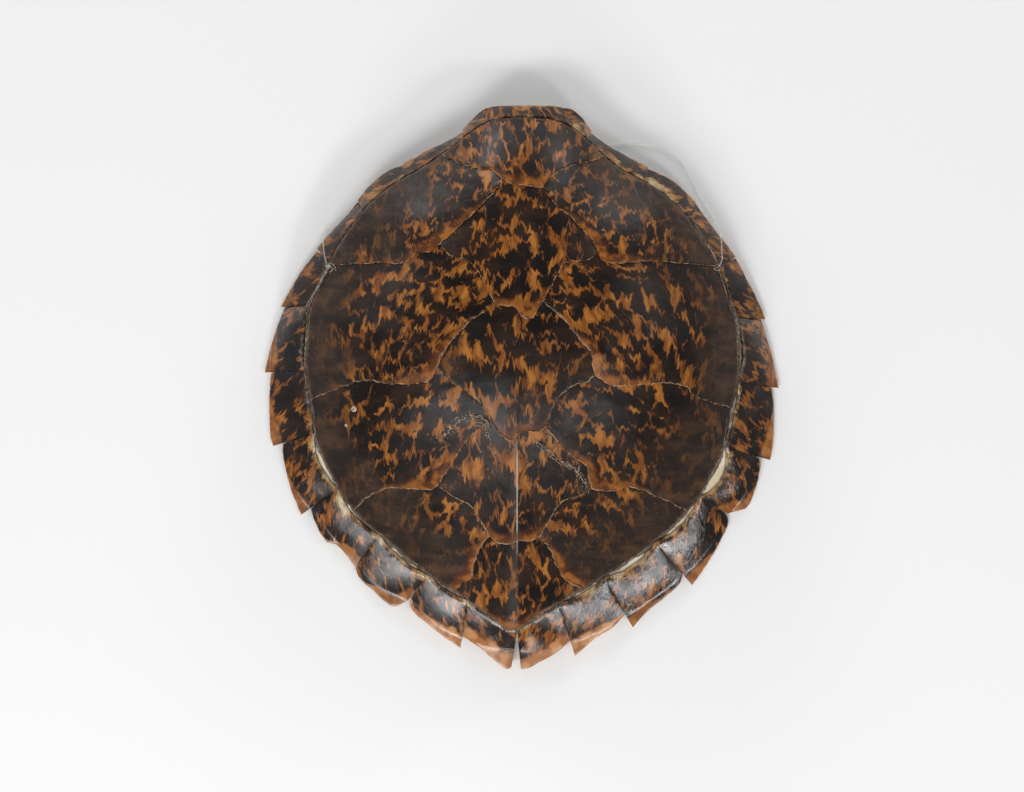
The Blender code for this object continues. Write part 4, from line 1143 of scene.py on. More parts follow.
def build_bone(material):
    shares = np.concatenate((np.linspace(0.02, 0.94, 46), np.linspace(0.955, 1.0, 5)))
    spokes = np.arange(BONE_SPOKES) * 360 / BONE_SPOKES
    gutter_r = ring_at("gutter", spokes)[0]
    edge_r = bone_edge_radius(spokes)
    radii = [share * gutter_r for share in shares]
    thick = [np.full(BONE_SPOKES, BONE_THICK) for _ in shares]
    for share in np.linspace(0.08, 1.0, 13):
        radii.append(gutter_r + share * (edge_r - gutter_r))
        thick.append(np.full(BONE_SPOKES, BONE_THICK + (BONE_THICK_RIM - BONE_THICK) * share))
    rings = len(radii)
    plan = np.vstack([on_spoke(spokes, r) for r in radii])
    thick = np.concatenate(thick)
    top = on_shell(plan, BONE_TOP + wobble(plan, 21, (0.12, 3.0), (0.1, 8.0)))
    inner = on_shell(plan, BONE_TOP - thick - rib_ridge(plan) + wobble(plan, 23, (0.15, 6.0)))
    centre = CENTRE[None]
    crown = on_shell(centre, np.array([BONE_TOP]))
    cellar = on_shell(centre, BONE_TOP - BONE_THICK - rib_ridge(centre))
    verts = np.vstack((top, inner, crown, cellar))
    count = len(plan)
    faces = []
    for s in range(BONE_SPOKES):
        n = (s + 1) % BONE_SPOKES
        faces += [(2 * count, s, n), (2 * count + 1, count + n, count + s)]
    for a in range(0, (rings - 1) * BONE_SPOKES, BONE_SPOKES):
        b = a + BONE_SPOKES
        faces += band(a, b, BONE_SPOKES) + band(count + b, count + a, BONE_SPOKES)
    last = (rings - 1) * BONE_SPOKES
    faces += band(last, count + last, BONE_SPOKES)
    return save_mesh("bone_shield", verts, faces, material)


bone_shield = build_bone(bone_material())
print("bone", len(bone_shield.data.polygons), "faces")

# %% Tell the bone's outside from its inside
BONE_OUTSIDE = 3.2               # deeper than this below the surface counts as the inside


def paint_bone(obj):
    """Store how far outside the gutter each point of the bone's outside lies."""
    plan = plan_of(obj)
    height = np.array([v.co.z for v in obj.data.vertices]) / MM
    angle, radius = polar(plan)
    outward = radius - ring_at("gutter", angle)[0]
    deep = (shell_height(plan) - height) * shell_normal(plan)[:, 2] > BONE_OUTSIDE
    outward = np.where(deep, BONE_INSIDE, outward)
    write_attribute(obj, "gutter_side", (outward, outward * 0, outward * 0))


# %% [markdown]
# ## Drilled holes
#
# Someone drilled a hole through horn and bone at each shoulder. Two short cylinders are cut out of
# the bone and of the two costal scutes that each hole crosses.

# %% Drill
HOLE_RADIUS = 1.6
DRILL_LENGTH = 24.0
HOLES = {"left": (-121.5, 76.4), "right": (123.5, 76.2)}


def hole_frame(spot, lift):
    """Place on a hole's axis, lifted along it, in metres, and the turn that lays Z on it."""
    base, normal = spot_on_shell(spot)
    axis = (normal + Vector((0, 0, 1))).normalized()
    return (base + axis * lift) * MM, Vector((0, 0, 1)).rotation_difference(axis)


def drill(obj, spot):
    bpy.ops.mesh.primitive_cylinder_add(vertices=32, radius=HOLE_RADIUS * MM, depth=DRILL_LENGTH * MM)
    bit = bpy.context.object
    bit.rotation_mode = 'QUATERNION'
    bit.location, bit.rotation_quaternion = hole_frame(spot, 0)
    cut = obj.modifiers.new("hole", 'BOOLEAN')
    cut.operation = 'DIFFERENCE'
    cut.solver = 'EXACT'
    cut.object = bit
    bpy.context.view_layer.update()
    drilled = bpy.data.meshes.new_from_object(obj.evaluated_get(bpy.context.evaluated_depsgraph_get()))
    obj.modifiers.clear()
    obj.data = drilled
    bpy.data.objects.remove(bit)


for side, spot in HOLES.items():
    for target in (bone_shield, plates[f"costal_{side}_1"][0], plates[f"costal_{side}_2"][0]):
        drill(target, spot)
paint_bone(bone_shield)
hand_in(bone_shield, "carapace_bone")
print("drilled bone", len(bone_shield.data.polygons), "faces")

# %% [markdown]
# ## Growth and dirt on the back
#
# Each plate now stores its growth lines for the horn finish. It also stores where dirt lies: dust
# along free edges, torn horn at two places on the back, and crust along the gutter behind the
# shoulders. Crumbs are strewn by these numbers further on.

# %% Paint the thirteen scutes
AMBER_BIAS = {"costal_left_2": 0.02, "costal_left_3": -0.02, "costal_right_2": -0.01,
              "vertebral_1": 0.03}
COSTAL_ACROSS = 1.22
COSTAL_ALONG = 0.74
COSTAL_LOBE = 50.0
VERTEBRAL_LOBE = 32.0
NO_CREAM = -2.0
TORN = [np.array([(9, -33), (24, -45), (33, -50), (41, -61)], float),
        np.array([(-51, -31), (-39, -19), (-23, -21), (-20, -31)], float)]
DUST_ALL_OVER = 0.002
DUST_REACH = 1.6
TORN_REACH = 2.6
CRUST_REACH = 1.7
CRUST_FRONT = 88.0


def store_dirt(obj, kept):
    """How much dust, torn horn and gutter crust lies at every vertex, each from 0 to 1."""
    plan = plan_of(obj)
    patchy = np.clip(lumps(plan, 7.0, 41) + 0.25, 0, 1)
    dust = DUST_ALL_OVER + ease(1 - distance_to(plan, kept["free"]) / DUST_REACH) * patchy
    torn = ease(1.4 - distance_to(plan, TORN) / TORN_REACH)
    crust = ease(1 - distance_to(plan, kept["gutter"]) / CRUST_REACH)
    crust = crust * ease((CRUST_FRONT - plan[:, 1]) / 8)
    write_attribute(obj, "dirt", (dust, torn, crust))


for name, (obj, kept, seed) in plates.items():
    corner, source, size = GROWTH[name]
    kind, *rest = name.split("_")
    haze, lobe, size = ((costal_haze, COSTAL_LOBE, (size * COSTAL_ACROSS, size * COSTAL_ALONG))
                        if kind == "costal" else (vertebral_haze, VERTEBRAL_LOBE, (size, size)))
    paint_growth(obj, corner, source, size, seed, kept["free"] or kept["gutter"], lobe, haze,
                 kept["gutter"], NO_CREAM, AMBER_BIAS.get(name, 0.0))
    store_dirt(obj, kept)
    hand_in(obj, "_".join([kind, "scute"] + rest))
print("painted", len(plates), "scutes")

# %% [markdown]
# ## Scutes of the rim
#
# Horn wraps the rim like a row of saw teeth. Each tooth is lofted: a hooked section, from the gutter
# over the flange, round the thin outer edge and back under the bone, is carried along the rim. The
# section is thick where it covers the bone's edge and thins towards the tooth's tip.

# %% Places along the rim
NUCHAL_EDGE = [(-22, 178), (-19.5, 179), (-7.5, 179.5), (8, 179.2), (20, 179), (25, 178)]
TAIL_SEAM = (-3, -157)
# For each scute, its front corner on the gutter, its outer edge, and how much gutter is bare by it.
MARGINALS = {
    "right": [
        ((32, 165), [(26, 178), (32, 177), (38, 172), (44, 163)], 0.6),
        ((41, 159), [(44, 162.5), (54, 155), (66, 148), (79.5, 141)], 0.6),
        ((80, 130), [(80, 140), (88, 136.5), (97, 131.5), (110.5, 118.5)], 1.0),
        ((106, 108), [(111, 118), (118, 108), (128, 95), (136.5, 83.5)], 0.8),
        ((126, 80), [(137, 83), (145, 68), (152, 54), (156, 44)], 1.0),
        ((137, 45), [(153.5, 43.5), (157, 32), (161, 17), (164.5, 0)], 2.4),
        ((139, 4), [(160, 0), (161, -5), (161, -33), (159, -46)], 2.5),
        ((133, -39), [(152, -45), (153, -49), (146, -74), (143, -77), (132, -80)], 7.4),
        ((115, -71), [(130.5, -80), (132.5, -85), (128, -96), (119, -112), (109, -126)], 3.5),
        ((87, -100), [(103, -119.5), (101, -125), (90, -135), (80, -143), (71, -153)], 4.5),
        ((54, -124), [(66, -145), (58, -153), (47, -160), (34, -171)], 3.0),
        ((24, -138), [(31, -161.5), (22, -169), (11.5, -175), (4, -179), (-0.5, -179.5)], 1.0),
    ],
    "left": [
        ((-24, 168), [(-22.5, 178), (-27, 175), (-33, 169), (-37, 164)], 0.6),
        ((-37, 158), [(-37.5, 163), (-42, 160), (-58, 152), (-74.5, 143)], 0.6),
        ((-77, 132), [(-75.5, 142), (-84.5, 139), (-96, 130), (-104, 120)], 0.8),
        ((-101, 112), [(-105, 119), (-112, 110), (-122, 99), (-130.5, 89)], 0.8),
        ((-122, 81), [(-131, 87.5), (-140, 76), (-147.5, 63.5), (-154, 52)], 1.0),
        ((-136, 53), [(-152, 51.5), (-157, 38), (-161.5, 23), (-164.5, 10)], 2.4),
        ((-138, 11), [(-160.5, 9.5), (-161.5, -1), (-161.5, -17), (-160.5, -32), (-159, -37)], 1.0),
        ((-132, -29), [(-153, -36), (-153, -42), (-149, -60), (-144.5, -73.5), (-141, -81)], 3.5),
        ((-117, -64), [(-135, -77), (-133.5, -83), (-125, -98), (-118, -100.5), (-106.5, -114)], 2.6),
        ((-97, -100), [(-106.5, -114.5), (-104, -121), (-94.5, -130), (-82, -139.5), (-72.5, -135.5)], 3.4),
        ((-62, -125), [(-72, -135.5), (-70, -142), (-58.5, -152), (-46.5, -161), (-39, -166)], 2.4),
        ((-35, -135), [(-37.5, -159), (-28, -165), (-17, -174), (-9, -179.5), (-6.5, -178)], 1.0),
    ],
}
SEAM_BARE = 0.6                  # width of gutter left bare at a seam

# %% Section of a rim scute
RIM_STEP = 0.9                   # the rear end lies this much higher, over the next scute
RIM_TOP = -0.1                   # lift of the top away from the gutter
RIM_TOP_POINTS = 25
GUTTER_DROP = 0.5                # the top's edge at the gutter is rounded off by this
WRAP_THICK = 0.9                 # horn under the bone
WRAP_REACH = 0.45                # how far in it goes, as a share of the bone's width there
HORN_CLEAR = 0.9                 # between bone and horn
TIP_THICK = 1.5
HALVINGS = 20


def edge_shares(inner, outer):
    """How far along each seam line the bone ends."""
    low, high = np.zeros(len(inner)), np.ones(len(inner))
    for _ in range(HALVINGS):
        share = (low + high) / 2
        angle, radius = polar(inner + (outer - inner) * share[:, None])
        past = radius > bone_edge_radius(angle)
        low, high = np.where(past, low, share), np.where(past, share, high)
    return low


def rim_sections(inner, outer, step_up):
    """Closed hooked sections, one for each pair of inner and outer points, as (share, lift)."""
    width = np.hypot(*(outer - inner).T)
    angle, _ = polar(inner)
    gutter_r, gutter_z = ring_at("gutter", angle)
    rim_r, rim_z = ring_at("rim", angle)
    slope_length = np.hypot(rim_r - gutter_r, rim_z - gutter_z)
    per_mm = (rim_r - gutter_r) / slope_length / width
    bone_end = edge_shares(inner, outer) + HORN_CLEAR * per_mm
    under = BONE_TOP - BONE_THICK_RIM - HORN_CLEAR
    reach = WRAP_REACH * bone_end
    inner_under = BONE_TOP - BONE_THICK - HORN_CLEAR
    nose = TIP_THICK / 2
    near = 1 - nose * per_mm
    shares, lifts = [], []

    def put(share, lift):
        shares.append(share + np.zeros(len(width)))
        lifts.append(lift + np.zeros(len(width)))

    for s in np.linspace(0, 1, RIM_TOP_POINTS):
        rise = SKIN_TUCKED + (RIM_TOP - SKIN_TUCKED) * min(1, s * 2)
        put(near * s, rise + step_up - GUTTER_DROP * (1 - ease(s * 16)))
    top = RIM_TOP + step_up
    for a in np.linspace(0, math.pi, 7)[1:-1]:
        put(near + nose * per_mm * math.sin(a), top - nose + nose * math.cos(a))
    for s in np.linspace(0, 1, 13):
        wrap = under - WRAP_THICK
        put(near + (bone_end - near) * s, wrap + (top - TIP_THICK - wrap) * ease(1 - s))
    for s in np.linspace(0, 1, 7)[1:]:
        put(bone_end + (reach - bone_end) * s, under + (inner_under - under) * s - WRAP_THICK)
    for s in np.linspace(0, 1, 7):
        put(reach + (bone_end - reach) * s, inner_under + (under - inner_under) * s)
    put(bone_end, (under + SKIN_UNDER) / 2)
    for s in np.linspace(0, 1, 9):
        put(bone_end * (1 - s), SKIN_UNDER + (GUTTER_FOOT + 0.1 - SKIN_UNDER) * ease((s - 0.8) * 5))
    return np.array(shares).T, np.array(lifts).T


# %% Loft of a rim scute
SEAM_GAP = 0.16
RIM_PITCH = 0.9
EDGE_INSET = 0.10                # keeps the edge's roughness inside the solid's outline
NUCHAL_INSET = 0.55
PILLOW = 0.9                     # height of the swelling in the middle
INNER_WOBBLE = ((0.5, 5.0), (0.3, 2.0))
OUTER_WOBBLE = ((0.25, 5.0), (0.18, 1.8))


def rim_lines(front, rear, outer, bare, inset, seed):
    """Matching points along a rim scute's inner and outer edge, and how far along they are."""
    outer = smooth_run(outer, RIM_PITCH)
    length = run_lengths(outer)
    s = np.linspace(0, 1, len(outer))
    at = SEAM_GAP / 2 + s * (length[-1] - SEAM_GAP)
    edge = np.column_stack([np.interp(at, length, outer[:, k]) for k in (0, 1)])
    (first, last), _ = polar(np.array((front, rear), float))
    turn = (last - first + 180) % 360 - 180
    gap_turn = math.degrees(SEAM_GAP / 2 / math.dist(front, CENTRE)) * np.sign(turn)
    angles = first + gap_turn + (turn - 2 * gap_turn) * s
    width = SEAM_BARE + (bare - SEAM_BARE) * np.sin(math.pi * s)
    inner = on_spoke(angles, ring_at("gutter", angles)[0] + width)
    fade = ease(np.minimum(s, 1 - s) * 8)
    heading = (edge - inner) / np.hypot(*(edge - inner).T)[:, None]
    inner = inner + heading * (fade * wobble(inner, seed, *INNER_WOBBLE))[:, None]
    nibble = np.minimum(wobble(edge, seed + 2, *OUTER_WOBBLE), 0.05)
    return inner, edge + heading * (fade * nibble - inset)[:, None], s


def build_marginal(name, inner, edge, s, finish):
    shares, lifts = rim_sections(inner, edge, RIM_STEP * s)
    face = shares[:, :RIM_TOP_POINTS]
    lifts[:, :RIM_TOP_POINTS] += PILLOW * (np.sin(math.pi * s)[:, None] ** 0.7) * np.sin(math.pi * face)
    plan = inner[:, None] + (edge - inner)[:, None] * shares[..., None]
    count = shares.shape[1]
    verts = on_shell(plan.reshape(-1, 2), lifts.ravel())
    verts[:, 2] = np.maximum(verts[:, 2], 0.0)
    faces = []
    for k in range(len(s) - 1):
        faces += band(k * count, (k + 1) * count, count)
    for k in (0, len(s) - 1):
        ring = [Vector((shares[k, m] * 25, lifts[k, m], 0)) for m in range(count)]
        faces += [tuple(k * count + m for m in tri) for tri in tessellate_polygon([ring])]
    obj = save_mesh(name, verts, faces, finish)
    bm = bmesh.new()
    bm.from_mesh(obj.data)
    bmesh.ops.recalc_face_normals(bm, faces=bm.faces)
    if bm.calc_volume(signed=True) < 0:
        bmesh.ops.reverse_faces(bm, faces=bm.faces)
    bm.to_mesh(obj.data)
    bm.free()
    return obj


# %% Make the rim scutes
# How far the honey colour reaches from the growth corner, and how much cream is worn in.
RIM_AGE = {"nuchal": (8.0, -0.6), "1": (8.0, 0.0), "2": (8.0, 0.0), "3": (8.0, -0.2),
           "4": (10.0, -0.6), "5": (18.0, -0.4), "6": (34.0, -0.3), "7": (36.0, -0.2),
           "8": (30.0, 1.1), "9": (30.0, 1.1), "10": (36.0, 1.1), "11": (56.0, 0.4),
           "supracaudal": (110.0, 0.2)}
CREAM_SPOTS = {"marginal_right_3": 0.8, "marginal_right_2": 0.2, "marginal_left_1": 0.5,
               "marginal_right_1": 0.4, "marginal_right_7": 0.4}
FRONT_RIM = ("nuchal", "1", "2", "3", "4", "5")
TAIL_RIM = ("11", "supracaudal")
RIM_BLOTCHES = 0.8
FIRST_RIM_SEED = 40


def rim_haze(plan):
    return 0.35 * ease(lumps(plan, 12, 31) - 0.1)


rims = [("nuchal", MARGINALS["left"][0][0], MARGINALS["right"][0][0], NUCHAL_EDGE, SEAM_BARE)]
for side, rows in MARGINALS.items():
    seams = [row[0] for row in rows] + [TAIL_SEAM]
    names = [f"marginal_{side}_{k}" for k in range(1, 12)] + [f"supracaudal_{side}"]
    rims += [(name, front, rear, outer, bare)
             for name, (front, outer, bare), rear in zip(names, rows, seams[1:])]
for seed, (name, front, rear, outer, bare) in enumerate(rims, FIRST_RIM_SEED):
    word, *rest = name.split("_")
    place_on_rim = rest[-1] if word == "marginal" else word
    finish = (front_horn if place_on_rim in FRONT_RIM
              else tail_horn if place_on_rim in TAIL_RIM else rim_horn)
    inset = NUCHAL_INSET if word == "nuchal" else EDGE_INSET
    inner, edge, s = rim_lines(front, rear, outer, bare, inset, seed)
    obj = build_marginal(name + "_horn", inner, edge, s, finish)
    corner = np.array((0, 179) if word == "nuchal" else outer[-1], float)
    middle = (np.array(front, float) + np.array(rear, float)) / 2
    honey, cream = RIM_AGE[place_on_rim]
    paint_growth(obj, corner, corner + (corner - middle) * 1.1, (RIM_BLOTCHES, RIM_BLOTCHES), seed, [edge],
                 honey, rim_haze, [inner], CREAM_SPOTS.get(name, cream))
    hand_in(obj, "_".join([word, "scute"] + rest))
print("rim scutes", len(rims))

# %% [markdown]
# ## Threads: fibres, torn strands and the line's knots
#
# Fine fibres lie along the gutter, pale strands cross the two torn places, and the nylon ends in
# small knots. They are all the same thing, a round thread that follows a path, so one Geometry Nodes
# tree makes them: it takes drawn paths, lets them wander by a noise and sweeps a circle along them.


# %% First and last nodes of a tree
def new_tree(name, inputs):
    """Empty Geometry Nodes tree with named inputs: the tree, its inputs, and their identifiers."""
    tree = bpy.data.node_groups.new(name, 'GeometryNodeTree')
    sockets = {label: tree.interface.new_socket(label, in_out='INPUT', socket_type=kind).identifier
               for label, kind in inputs.items()}
    tree.interface.new_socket("Geometry", in_out='OUTPUT', socket_type='NodeSocketGeometry')
    return tree, tree.nodes.new("NodeGroupInput").outputs, sockets


def close_tree(tree, geometry, finish):
    """End a tree with real meshes and their material."""
    real = add_node(tree, "GeometryNodeRealizeInstances", {"Geometry": geometry}).outputs[0]
    dressed = add_node(tree, "GeometryNodeSetMaterial", {"Geometry": real, "Material": finish})
    add_node(tree, "NodeGroupOutput", {"Geometry": dressed.outputs[0]})


# %% Thread tree
def thread_tree():
    tree, given, sockets = new_tree("thread_along_path", {
        "Paths": 'NodeSocketGeometry', "Pitch": 'NodeSocketFloat', "Thickness": 'NodeSocketFloat',
        "Wander": 'NodeSocketFloat', "Waves per metre": 'NodeSocketFloat', "Finish": 'NodeSocketMaterial'})
    lines = add_node(tree, "GeometryNodeMeshToCurve", {"Mesh": given["Paths"]}).outputs[0]
    lines = add_node(tree, "GeometryNodeResampleCurve", {"Curve": lines, "Length": given["Pitch"]},
                     mode='LENGTH').outputs[0]
    spot = tree.nodes.new("GeometryNodeInputPosition").outputs[0]
    waves = add_node(tree, "ShaderNodeTexNoise", {"Vector": spot, "Scale": given["Waves per metre"],
                                                  "Detail": 2.0}).outputs["Color"]
    away = vector_maths(tree, 'SUBTRACT', waves, (0.5, 0.5, 0.5))
    away = vector_maths(tree, 'SCALE', away, given["Wander"])
    lines = add_node(tree, "GeometryNodeSetPosition", {"Geometry": lines, "Offset": away}).outputs[0]
    radius = times(tree, given["Thickness"], 0.5)
    circle = add_node(tree, "GeometryNodeCurvePrimitiveCircle", {"Resolution": 5, "Radius": radius})
    threads = add_node(tree, "GeometryNodeCurveToMesh",
                       {"Curve": lines, "Profile Curve": circle.outputs[0], "Fill Caps": True})
    close_tree(tree, threads.outputs[0], given["Finish"])
    return tree, sockets


THREADS = thread_tree()
print("thread tree of", len(THREADS[0].nodes), "nodes")


# %% Grow threads along paths
def grown(name, mesh, tree, sockets, values):
    """The plain mesh object that a tree makes from a starting mesh."""
    obj = bpy.data.objects.new(name, mesh)
    bpy.context.scene.collection.objects.link(obj)
    modifier = obj.modifiers.new("grow", 'NODES')
    modifier.node_group = tree
    for label, value in values.items():
        modifier[sockets[label]] = value
    bpy.context.view_layer.update()
    made = bpy.data.meshes.new_from_object(obj.evaluated_get(bpy.context.evaluated_depsgraph_get()))
    obj.modifiers.clear()
    obj.data = made
    return obj


def threads(name, paths, thickness, wander, finish, closed=False, pitch=0.5, waves=350.0):
    verts, edges = [], []
    for path in paths:
        first = len(verts)
        verts += (np.asarray(path) * MM).tolist()
        edges += [(k, k + 1) for k in range(first, len(verts) - 1)]
        if closed:
            edges.append((len(verts) - 1, first))
    mesh = bpy.data.meshes.new(name)
    mesh.from_pydata(verts, edges, [])
    return grown(name, mesh, *THREADS, {"Pitch": pitch * MM, "Thickness": thickness * MM,
                                        "Wander": wander * MM, "Waves per metre": waves,
                                        "Finish": finish})


# %% Fibres and torn strands
FIBRES = 150
FIBRE_POINTS = 12
FIBRE_THICK = 0.22
FIBRE_LIFT = 0.35
FIBRE_WANDER = 1.2
BEHIND_NAPE = (148, 392)         # fibres start between these angles of the gutter
STRANDS_PER_TEAR = 7
STRAND_THICK = 0.30
STRAND_WANDER = 3.2

fibre_finish = plain_material("old_fibre", "6f6053", "a3978a", 0.7)
strand_finish = plain_material("torn_horn", "6e5a42", "b9a88e", 0.5)
draw = np.random.default_rng(12)
fibre_paths = []
for _ in range(FIBRES):
    start = draw.uniform(*BEHIND_NAPE) % 360
    angles = (start + np.linspace(0, draw.uniform(3, 11), FIBRE_POINTS)) % 360
    off = draw.uniform(-1.5, 0.7) + np.linspace(0, draw.uniform(-0.8, 0.8), FIBRE_POINTS)
    lift = np.full(FIBRE_POINTS, draw.uniform(0.0, FIBRE_LIFT))
    fibre_paths.append(on_shell(on_spoke(angles, ring_at("gutter", angles)[0] + off), lift))
fibres = threads("gutter_fibres", fibre_paths, FIBRE_THICK, FIBRE_WANDER, fibre_finish)

tear_paths = []
for tear in TORN:
    middle = smooth_run(tear, 1.0)
    for _ in range(STRANDS_PER_TEAR):
        first, last = sorted(draw.uniform(0, 1, 2))
        part = middle[int(first * len(middle)):int(last * len(middle)) + 4]
        shift = draw.uniform(-2.2, 2.2, 2)
        tear_paths.append(on_shell(part + shift, np.full(len(part), draw.uniform(0.5, 0.9))))
torn_strands = threads("torn_strands", tear_paths, STRAND_THICK, STRAND_WANDER, strand_finish)
hand_in(fibres)
hand_in(torn_strands)
print("fibres", len(fibres.data.polygons), "faces, torn strands", len(torn_strands.data.polygons))

# %% [markdown]
# The knots are real overhand knots: a trefoil, the curve of an overhand knot with its ends joined,
# swept by the same tree. The left one sits outside, with frayed ends, and the right one under the
# bone, so only the line and the hole's pale worn rim show there.

# %% Knots and the worn rims of the holes
KNOT_SCALE = 0.46
KNOT_PITCH = 0.25
KNOT_LIFTS = {"left": 2.7, "right": -8.6}     # along the hole's axis
WORN_RIM_RADIUS = 2.05
WORN_RIM_THICK = 0.55
WORN_RIM_WANDER = 0.25

worn_nylon = plain_material("worn_nylon", "857d72", "bdb6aa", 0.35)


def laid_on_axis(points, spot, lift):
    """Points round a hole's axis, in millimetres."""
    base, turn = hole_frame(spot, lift)
    return [tuple((turn @ Vector(p)) + base / MM) for p in points]


t = np.linspace(0, 2 * math.pi, 61)[:-1]
trefoil = KNOT_SCALE * np.column_stack((np.sin(t) + 2 * np.sin(2 * t), np.cos(t) - 2 * np.cos(2 * t),
                                        -np.sin(3 * t)))
for side, spot in HOLES.items():
    knot = threads(f"nylon_knot_{side}", [laid_on_axis(trefoil, spot, KNOT_LIFTS[side])], LINE_DIAMETER,
                   0.0, worn_nylon, closed=True, pitch=KNOT_PITCH)
    hand_in(knot, f"line_knot_{side}")
    print("knot", side, len(knot.data.polygons), "faces")

ring = WORN_RIM_RADIUS * np.column_stack((np.cos(t), np.sin(t), t * 0))
worn_rims = threads("worn_hole_rims", [laid_on_axis(ring, HOLES["right"], WORN_RIM_THICK)],
                    WORN_RIM_THICK, WORN_RIM_WANDER, strand_finish, closed=True)
hand_in(worn_rims)

# %% Loose ends of the line
LOOSE_PITCH = 0.8
LOOSE_LIFT = 0.8
LOOSE_THICK = 0.42
LOOSE_WANDER = 0.9
LOOSE_ENDS = [
    [(-122.8, 76.1), (-124.6, 71.5), (-128.0, 66.0), (-131.5, 60.0), (-134.5, 55.0), (-136.5, 51.5)],
    [(-122.0, 75.5), (-125.5, 69.5), (-127.5, 65.0), (-132.5, 57.5)],
    [(-120.5, 77.5), (-119.0, 74.5), (-121.5, 73.0), (-118.2, 75.5)],
    [(-122.5, 77.0), (-121.0, 79.0), (-118.0, 76.8), (-116.8, 73.8)],
    [(117.0, 90.0), (119.5, 86.5), (122.6, 81.0)],
]
runs = [smooth_run(path, LOOSE_PITCH) for path in LOOSE_ENDS]
ends = [on_shell(run, np.full(len(run), LOOSE_LIFT)) for run in runs]
loose_ends = threads("loose_line_ends", ends, LOOSE_THICK, LOOSE_WANDER, worn_nylon)
hand_in(loose_ends)
print("loose ends", len(loose_ends.data.polygons), "faces")

# %% [markdown]
# ## Barnacles
#
# A barnacle is a cone of six lime plates round an opening. Here it is a turned profile whose outer
# rings bulge six times round. A much smaller one grew a little behind it.


# %% Lime
def lime_material():
    """Chalky plates round a dark mouth, which a stored number marks."""
    material, tree, shader = start_material("barnacle_lime")
    mouth = add_node(tree, "ShaderNodeAttribute", {}, attribute_name="mouth").outputs["Fac"]
    tone = step(tree, noise(tree, object_place(tree), 900.0, 3.0, 0.6), 0.4, 0.6)
    chalk = mixed(tree, tone, "b7a98c", "e6dcc6")
    fill_inputs(tree, shader, {"Base Color": mixed(tree, step(tree, mouth, 0.2, 0.9), chalk, "5a4526"),
                               "Roughness": 0.7})
    return material


lime = lime_material()

# %% Build the barnacles
BARNACLE_AT = (-105.0, -13.0)
BARNACLE_WIDTH = 3.8
BARNACLE_HEIGHT = 1.6
BARNACLE_LIFT = 1.0
YOUNG_BARNACLE_AT = (-110.8, -23.4)
YOUNG_WIDTH = 2.0
YOUNG_HEIGHT = 0.7
YOUNG_LIFT = 0.35
BARNACLE_STEPS = 36
# Radius as a share of half the width, height as a share of the whole, and how far the plates bulge.
BARNACLE_PROFILE = ((0.30, 0.30, 0.0), (0.40, 0.75, 0.03), (0.46, 1.0, 0.05), (0.60, 0.97, 0.07),
                    (0.80, 0.55, 0.10), (0.90, 0.0, 0.10))


def build_barnacle(name, spot, width, height, lift):
    t = np.arange(BARNACLE_STEPS) * 2 * math.pi / BARNACLE_STEPS
    rings = []
    for r, z, bulge in BARNACLE_PROFILE:
        radius = width / 2 * (r + bulge * np.abs(np.cos(3 * t)))
        rings.append(np.column_stack((radius * np.cos(t), radius * np.sin(t), t * 0 + height * z)))
    points = np.vstack([[(0, 0, height * 0.30)]] + rings + [[(0, 0, 0)]])
    base, normal = spot_on_shell(spot, lift)
    turn = Vector((0, 0, 1)).rotation_difference(normal)
    verts = [tuple((turn @ Vector(p)) + base) for p in points]
    starts = [1 + r * BARNACLE_STEPS for r in range(len(rings))]
    faces = []
    for a, b in zip(starts, starts[1:]):
        faces += band(a, b, BARNACLE_STEPS)
    for k in range(BARNACLE_STEPS):
        n = (k + 1) % BARNACLE_STEPS
        faces += [(0, 1 + k, 1 + n), (starts[-1] + k, len(verts) - 1, starts[-1] + n)]
    obj = save_mesh(name, verts, faces, lime)
    mouth = np.zeros(len(verts))
    mouth[:BARNACLE_STEPS + 1] = 1.0
    write_attribute(obj, "mouth", (mouth, mouth, mouth))
    print(name, len(faces), "faces")
    return obj


hand_in(build_barnacle("barnacle_plates", BARNACLE_AT, BARNACLE_WIDTH, BARNACLE_HEIGHT, BARNACLE_LIFT),
        "barnacle")
hand_in(build_barnacle("young_barnacle", YOUNG_BARNACLE_AT, YOUNG_WIDTH, YOUNG_HEIGHT, YOUNG_LIFT))

# %% [markdown]
# ## Dust, torn flakes and crust
#
# Pale dust clings along the free edges, small flakes stand up where the horn is torn, and brown
# crust fills the gutter's inner edge. All are crumbs that lie on a surface as thickly as a stored
# mask says, so one Geometry Nodes tree scatters all three on the faces of the plates.


